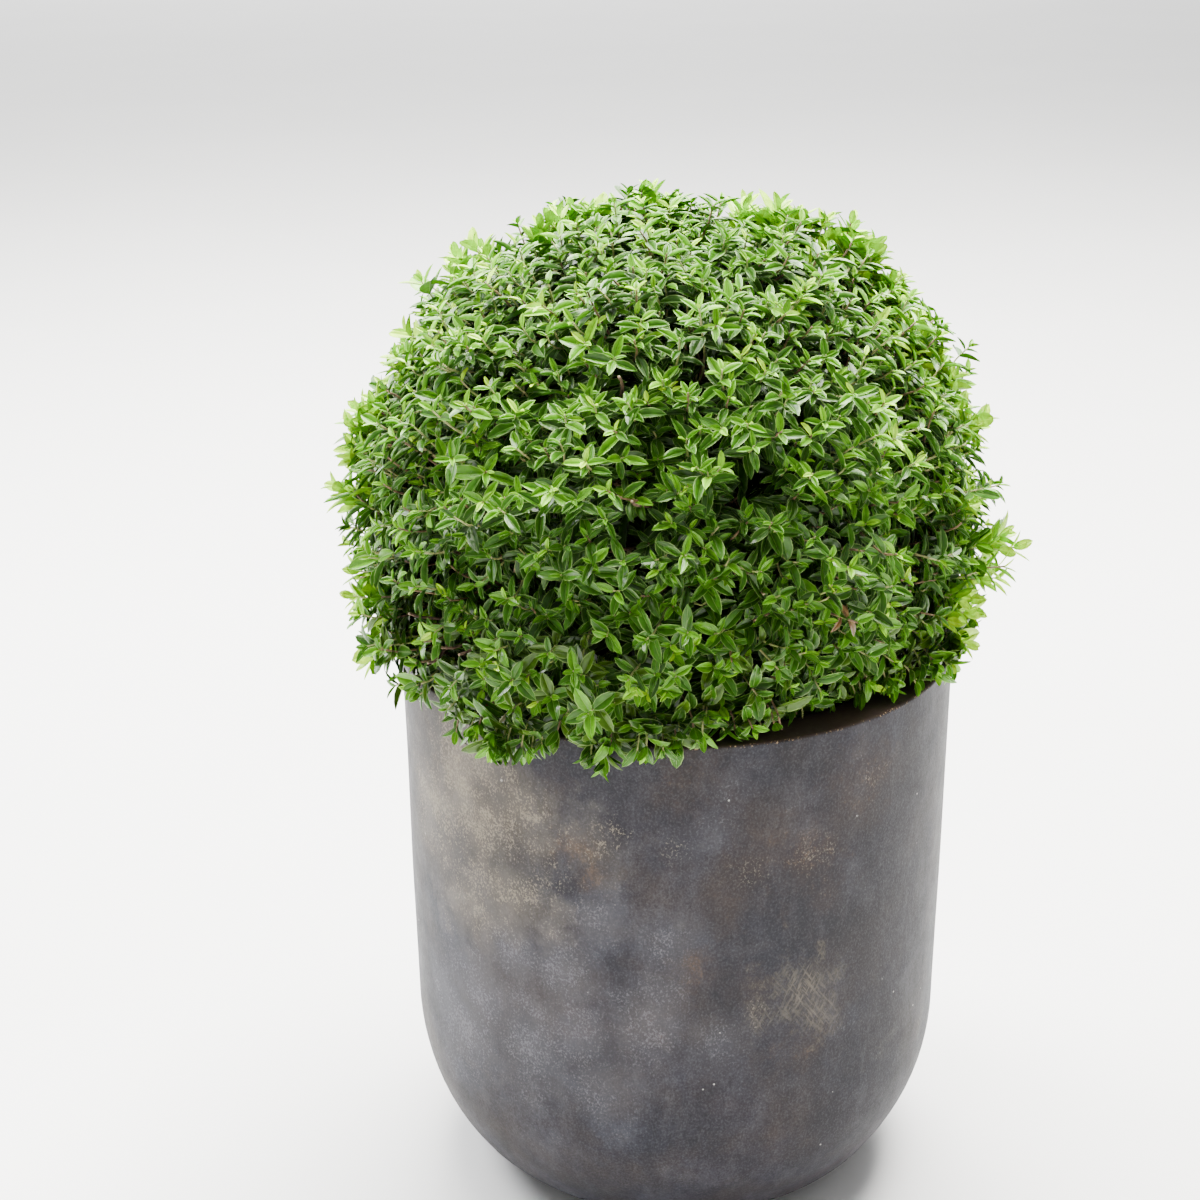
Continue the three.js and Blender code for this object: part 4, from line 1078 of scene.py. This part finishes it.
leaves = grow_leaves(shoots, kinds)
is_withered = from_nearest(leaves["node"], WITHERED_PLACES) < WITHERED_REACH
leaves["size"] = leaves["size"] * np.where(is_withered, WITHERED_SIZE, 1.0)
low = 1 - np.clip((leaves["node"][:, 2] - POT_HEIGHT) / LOW_REACH, 0, 1)
leaf_count = len(low)
on_sprig = kinds[leaves["shoot"]] == SPRIG
ratio = random.uniform(*WIDTHS, leaf_count) + LOW_WIDER * low + SPRIG_WIDER * on_sprig
fold = random.uniform(*FOLDS, leaf_count) * (1 - LOW_FLATTER * low) * (1 - SPRIG_FLATTER * on_sprig)
curl = random.uniform(*CURLS, leaf_count) + WITHERED_CURL * is_withered
half = leaves["size"] * ratio / 2
across = np.cross(leaves["face"], leaves["along"])
shape = np.stack([
    leaves["size"][:, None] * blade[None, :, 0],
    (half * np.cos(fold))[:, None] * blade[None, :, 1],
    (half * np.sin(fold))[:, None] * np.abs(blade[None, :, 1])
    - (leaves["size"] * curl)[:, None] * blade[None, :, 0] ** 2,
], axis=-1)
axes = np.stack([leaves["along"], across, leaves["face"]], axis=1)
leaf_points = leaves["node"][:, None] + shape @ axes
is_clear = clear_of_pot(leaf_points, LEAF_CLEAR).all(axis=1)

tips = shoots[:, 3]
vigour_and_light = (
    np.array([noise.noise(Vector(tip) * VIGOUR_FINENESS + VIGOUR_SHIFT) for tip in tips])
    + VIGOUR + random.normal(0, VIGOUR_SPREAD, len(shoots))
    + (kinds == SPRIG) * np.where(tips[:, 0] > RIGHT_FROM, *SPRIG_VIGOUR)
    # Painted light: paler tones at the sides and the top of the ball.
    + SIDE_PAINTED_LIGHT * (np.abs(tips[:, 0]) > SIDE_FROM)
    + TOP_PAINTED_LIGHT * np.clip((tips[:, 2] - POT_HEIGHT - TOP_FROM) / TOP_SPAN, 0, 1)
    + YOUNG_VIGOUR * np.exp(-(from_nearest(tips, YOUNG_PLACES) / YOUNG_REACH) ** 2)
)
age_and_light = leaves["pair"] * PAIR_AGE - vigour_and_light[leaves["shoot"]] + random.normal(0, AGE_SPREAD, leaf_count)
age_and_light = age_and_light + KIND_AGES[kinds[leaves["shoot"]]]
tone_names = AGE_TONES[np.digitize(age_and_light, AGE_STEPS)]
is_olive = (low > OLIVE_LOW) & (age_and_light > OLIVE_AGE) & (random.random(leaf_count) < OLIVE_SHARE)
tone_names = np.where(is_withered, "withered", np.where(is_olive, "olive", tone_names))


def leaf_finish(name, tone, edge_share):
    gloss = {"Coat_Weight": 0.26, "Coat_Roughness": 0.10, "Specular_IOR_Level": 0.26}
    leaf = Finish(name, Specular_Tint=GLOSS_TINT, **gloss)
    parts = leaf.parts(leaf.add("TexCoord", {}, "UV"))
    from_rib = leaf.times(leaf.math("ABSOLUTE", leaf.math("SUBTRACT", parts["Y"], 0.5)), 2.0)
    mottle = leaf.noise(210, 3, 0.6)
    shade, light = [(*[value * share for value in tone], 1) for share in MOTTLE_SHARES]
    edge = (*[value + (pale - value) * edge_share for value, pale in zip(tone, PALE_EDGE_AND_GLINT)], 1)
    leaf.colour(leaf.coated(
        leaf.mix(leaf.between(mottle, 0.35, 0.65), shade, light),
        # Painted highlight: the pale margin is partly light caught on the glossy rolled edge; the midrib
        # line takes the same colour.
        (leaf.between(from_rib, 0.87, 0.94), edge),
        (leaf.between(from_rib, 0.08, 0.03, 0.0, 0.5), edge),
    ))
    leaf.roughness(leaf.between(mottle, 0.3, 0.7, 0.30, 0.42))
    up_vein = leaf.math("SUBTRACT", parts["X"], leaf.times(from_rib, 0.22))
    veins = leaf.math("SINE", leaf.times(up_vein, 44.0))
    swell = leaf.math("SINE", leaf.times(from_rib, math.pi))
    relief = leaf.plus(leaf.times(veins, 0.04), leaf.times(mottle, 0.6))
    leaf.bump(leaf.plus(relief, swell), 0.0004, 0.8)
    return leaf.material


def leaf_piece(name, points, tone, edge_share):
    faces = [repeated(part, len(blade), len(points)) for part in blade_faces]
    piece = joined(name, points, faces, leaf_finish(name, tone, edge_share))
    places = np.concatenate([np.tile(part, (len(points), 1)) for part in blade_uvs])
    layer = piece.data.uv_layers.new(name="UVMap")
    layer.data.foreach_set("uv", places.astype(np.float32).ravel())
    on_rib = np.tile(np.abs(blade[:, 1]) < 1e-6, len(points))
    ends = np.empty(len(piece.data.edges) * 2, np.int32)
    piece.data.edges.foreach_get("vertices", ends)
    crease = on_rib[ends.reshape(-1, 2)].all(axis=1)
    piece.data.attributes.new("sharp_edge", "BOOLEAN", "EDGE").data.foreach_set("value", crease)
    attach(piece, "root")
    return piece


for name, (tone, edge_share) in LEAF_TONES.items():
    mine = leaf_points[is_clear & (tone_names == name)]
    leaf_piece("leaves_" + name, mine, tone, edge_share)
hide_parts("foliage_top", *["foliage_" + side for side in SIDES])

# A plain pale floor, soft light from large panels and a pale sky, and the camera above the front.
FLOOR_SIDE = 60.0
FLOOR_PALE = (0.80, 0.79, 0.77, 1)
FLOOR_GREY = (0.74, 0.73, 0.71, 1)
CAMERA_PLACE = (-0.0413, -1.052, 0.7452)
CAMERA_PITCH = math.radians(-21.46)
CAMERA_ROLL = math.radians(-0.58)
FRAME_PIXELS = 1200
FOCAL_PIXELS = 2080
SENSOR = 36
LIGHTS_AIM = Vector((0, 0, 0.3))
LIGHTS = [
    ("roof_window", (0.2, 0.8, 2.6), 2.0, 525, (1.0, 0.99, 0.96)),
    ("far_window", (-1.0, 10.0, 5.0), 8.0, 1300, (0.98, 0.99, 1.0)),
    ("front_window", (-0.7, -1.3, 2.7), 0.45, 7, (1.0, 0.99, 0.97)),
    ("right_strip", (1.0, 0.7, 3.1), 1.0, 46, (0.95, 0.97, 1.0)),
    ("left_strip", (-1.6, 0.7, 2.0), 1.0, 122, (0.95, 0.97, 1.0)),
]
SKY = (0.93, 0.96, 1.0, 1)
SKYLIGHT = 1.2
SKYLIGHT_SPREAD = math.radians(120)
SKY_AT_FLOOR = 0.55
SKY_ABOVE = 0.32
SKY_FADE = 0.3

floor_mesh = bmesh.new()
bmesh.ops.create_grid(floor_mesh, x_segments=1, y_segments=1, size=FLOOR_SIDE / 2)
floor_finish = Finish("pale_floor", Roughness=0.7)
floor_cloud = floor_finish.noise(2.0, 3, 0.5)
floor_share = floor_finish.between(floor_cloud, 0.4, 0.6, 0.0, 0.25)
floor_finish.colour(floor_finish.mix(floor_share, FLOOR_PALE, FLOOR_GREY))
floor = finished(floor_mesh, "studio_floor", floor_finish.material)

for name, place, side, power, tint in LIGHTS:
    light = bpy.data.lights.new(name, "AREA")
    light.shape = "SQUARE"
    light.size = side
    light.energy = power
    light.color = tint
    lamp = bpy.data.objects.new(name, light)
    lamp.location = place
    lamp.rotation_euler = (LIGHTS_AIM - lamp.location).to_track_quat("-Z", "Y").to_euler()
    bpy.context.scene.collection.objects.link(lamp)

skylight = bpy.data.lights.new("skylight", "SUN")
skylight.energy = SKYLIGHT
skylight.angle = SKYLIGHT_SPREAD
skylight_lamp = bpy.data.objects.new("skylight", skylight)
bpy.context.scene.collection.objects.link(skylight_lamp)

sky = bpy.data.worlds.new("pale_sky")
sky.use_nodes = True
sky.node_tree.nodes["Background"].inputs["Color"].default_value = SKY
direction = sky.node_tree.nodes.new("ShaderNodeTexCoord")
parts = sky.node_tree.nodes.new("ShaderNodeSeparateXYZ")
fade = sky.node_tree.nodes.new("ShaderNodeMapRange")
for socket, value in zip(fade.inputs[1:5], (0.0, SKY_FADE, SKY_AT_FLOOR, SKY_ABOVE)):
    socket.default_value = value
sky.node_tree.links.new(direction.outputs["Generated"], parts.inputs[0])
sky.node_tree.links.new(parts.outputs["Z"], fade.inputs[0])
sky.node_tree.links.new(fade.outputs[0], sky.node_tree.nodes["Background"].inputs["Strength"])
bpy.context.scene.world = sky

camera = bpy.data.cameras.new("camera")
camera.sensor_width = SENSOR
camera.lens = SENSOR * FOCAL_PIXELS / FRAME_PIXELS
eye = bpy.data.objects.new("camera", camera)
pitch = Matrix.Rotation(math.pi / 2 + CAMERA_PITCH, 4, "X")
roll = Matrix.Rotation(CAMERA_ROLL, 4, "Z")
eye.matrix_world = Matrix.Translation(CAMERA_PLACE) @ pitch @ roll
bpy.context.scene.collection.objects.link(eye)
bpy.context.scene.camera = eye
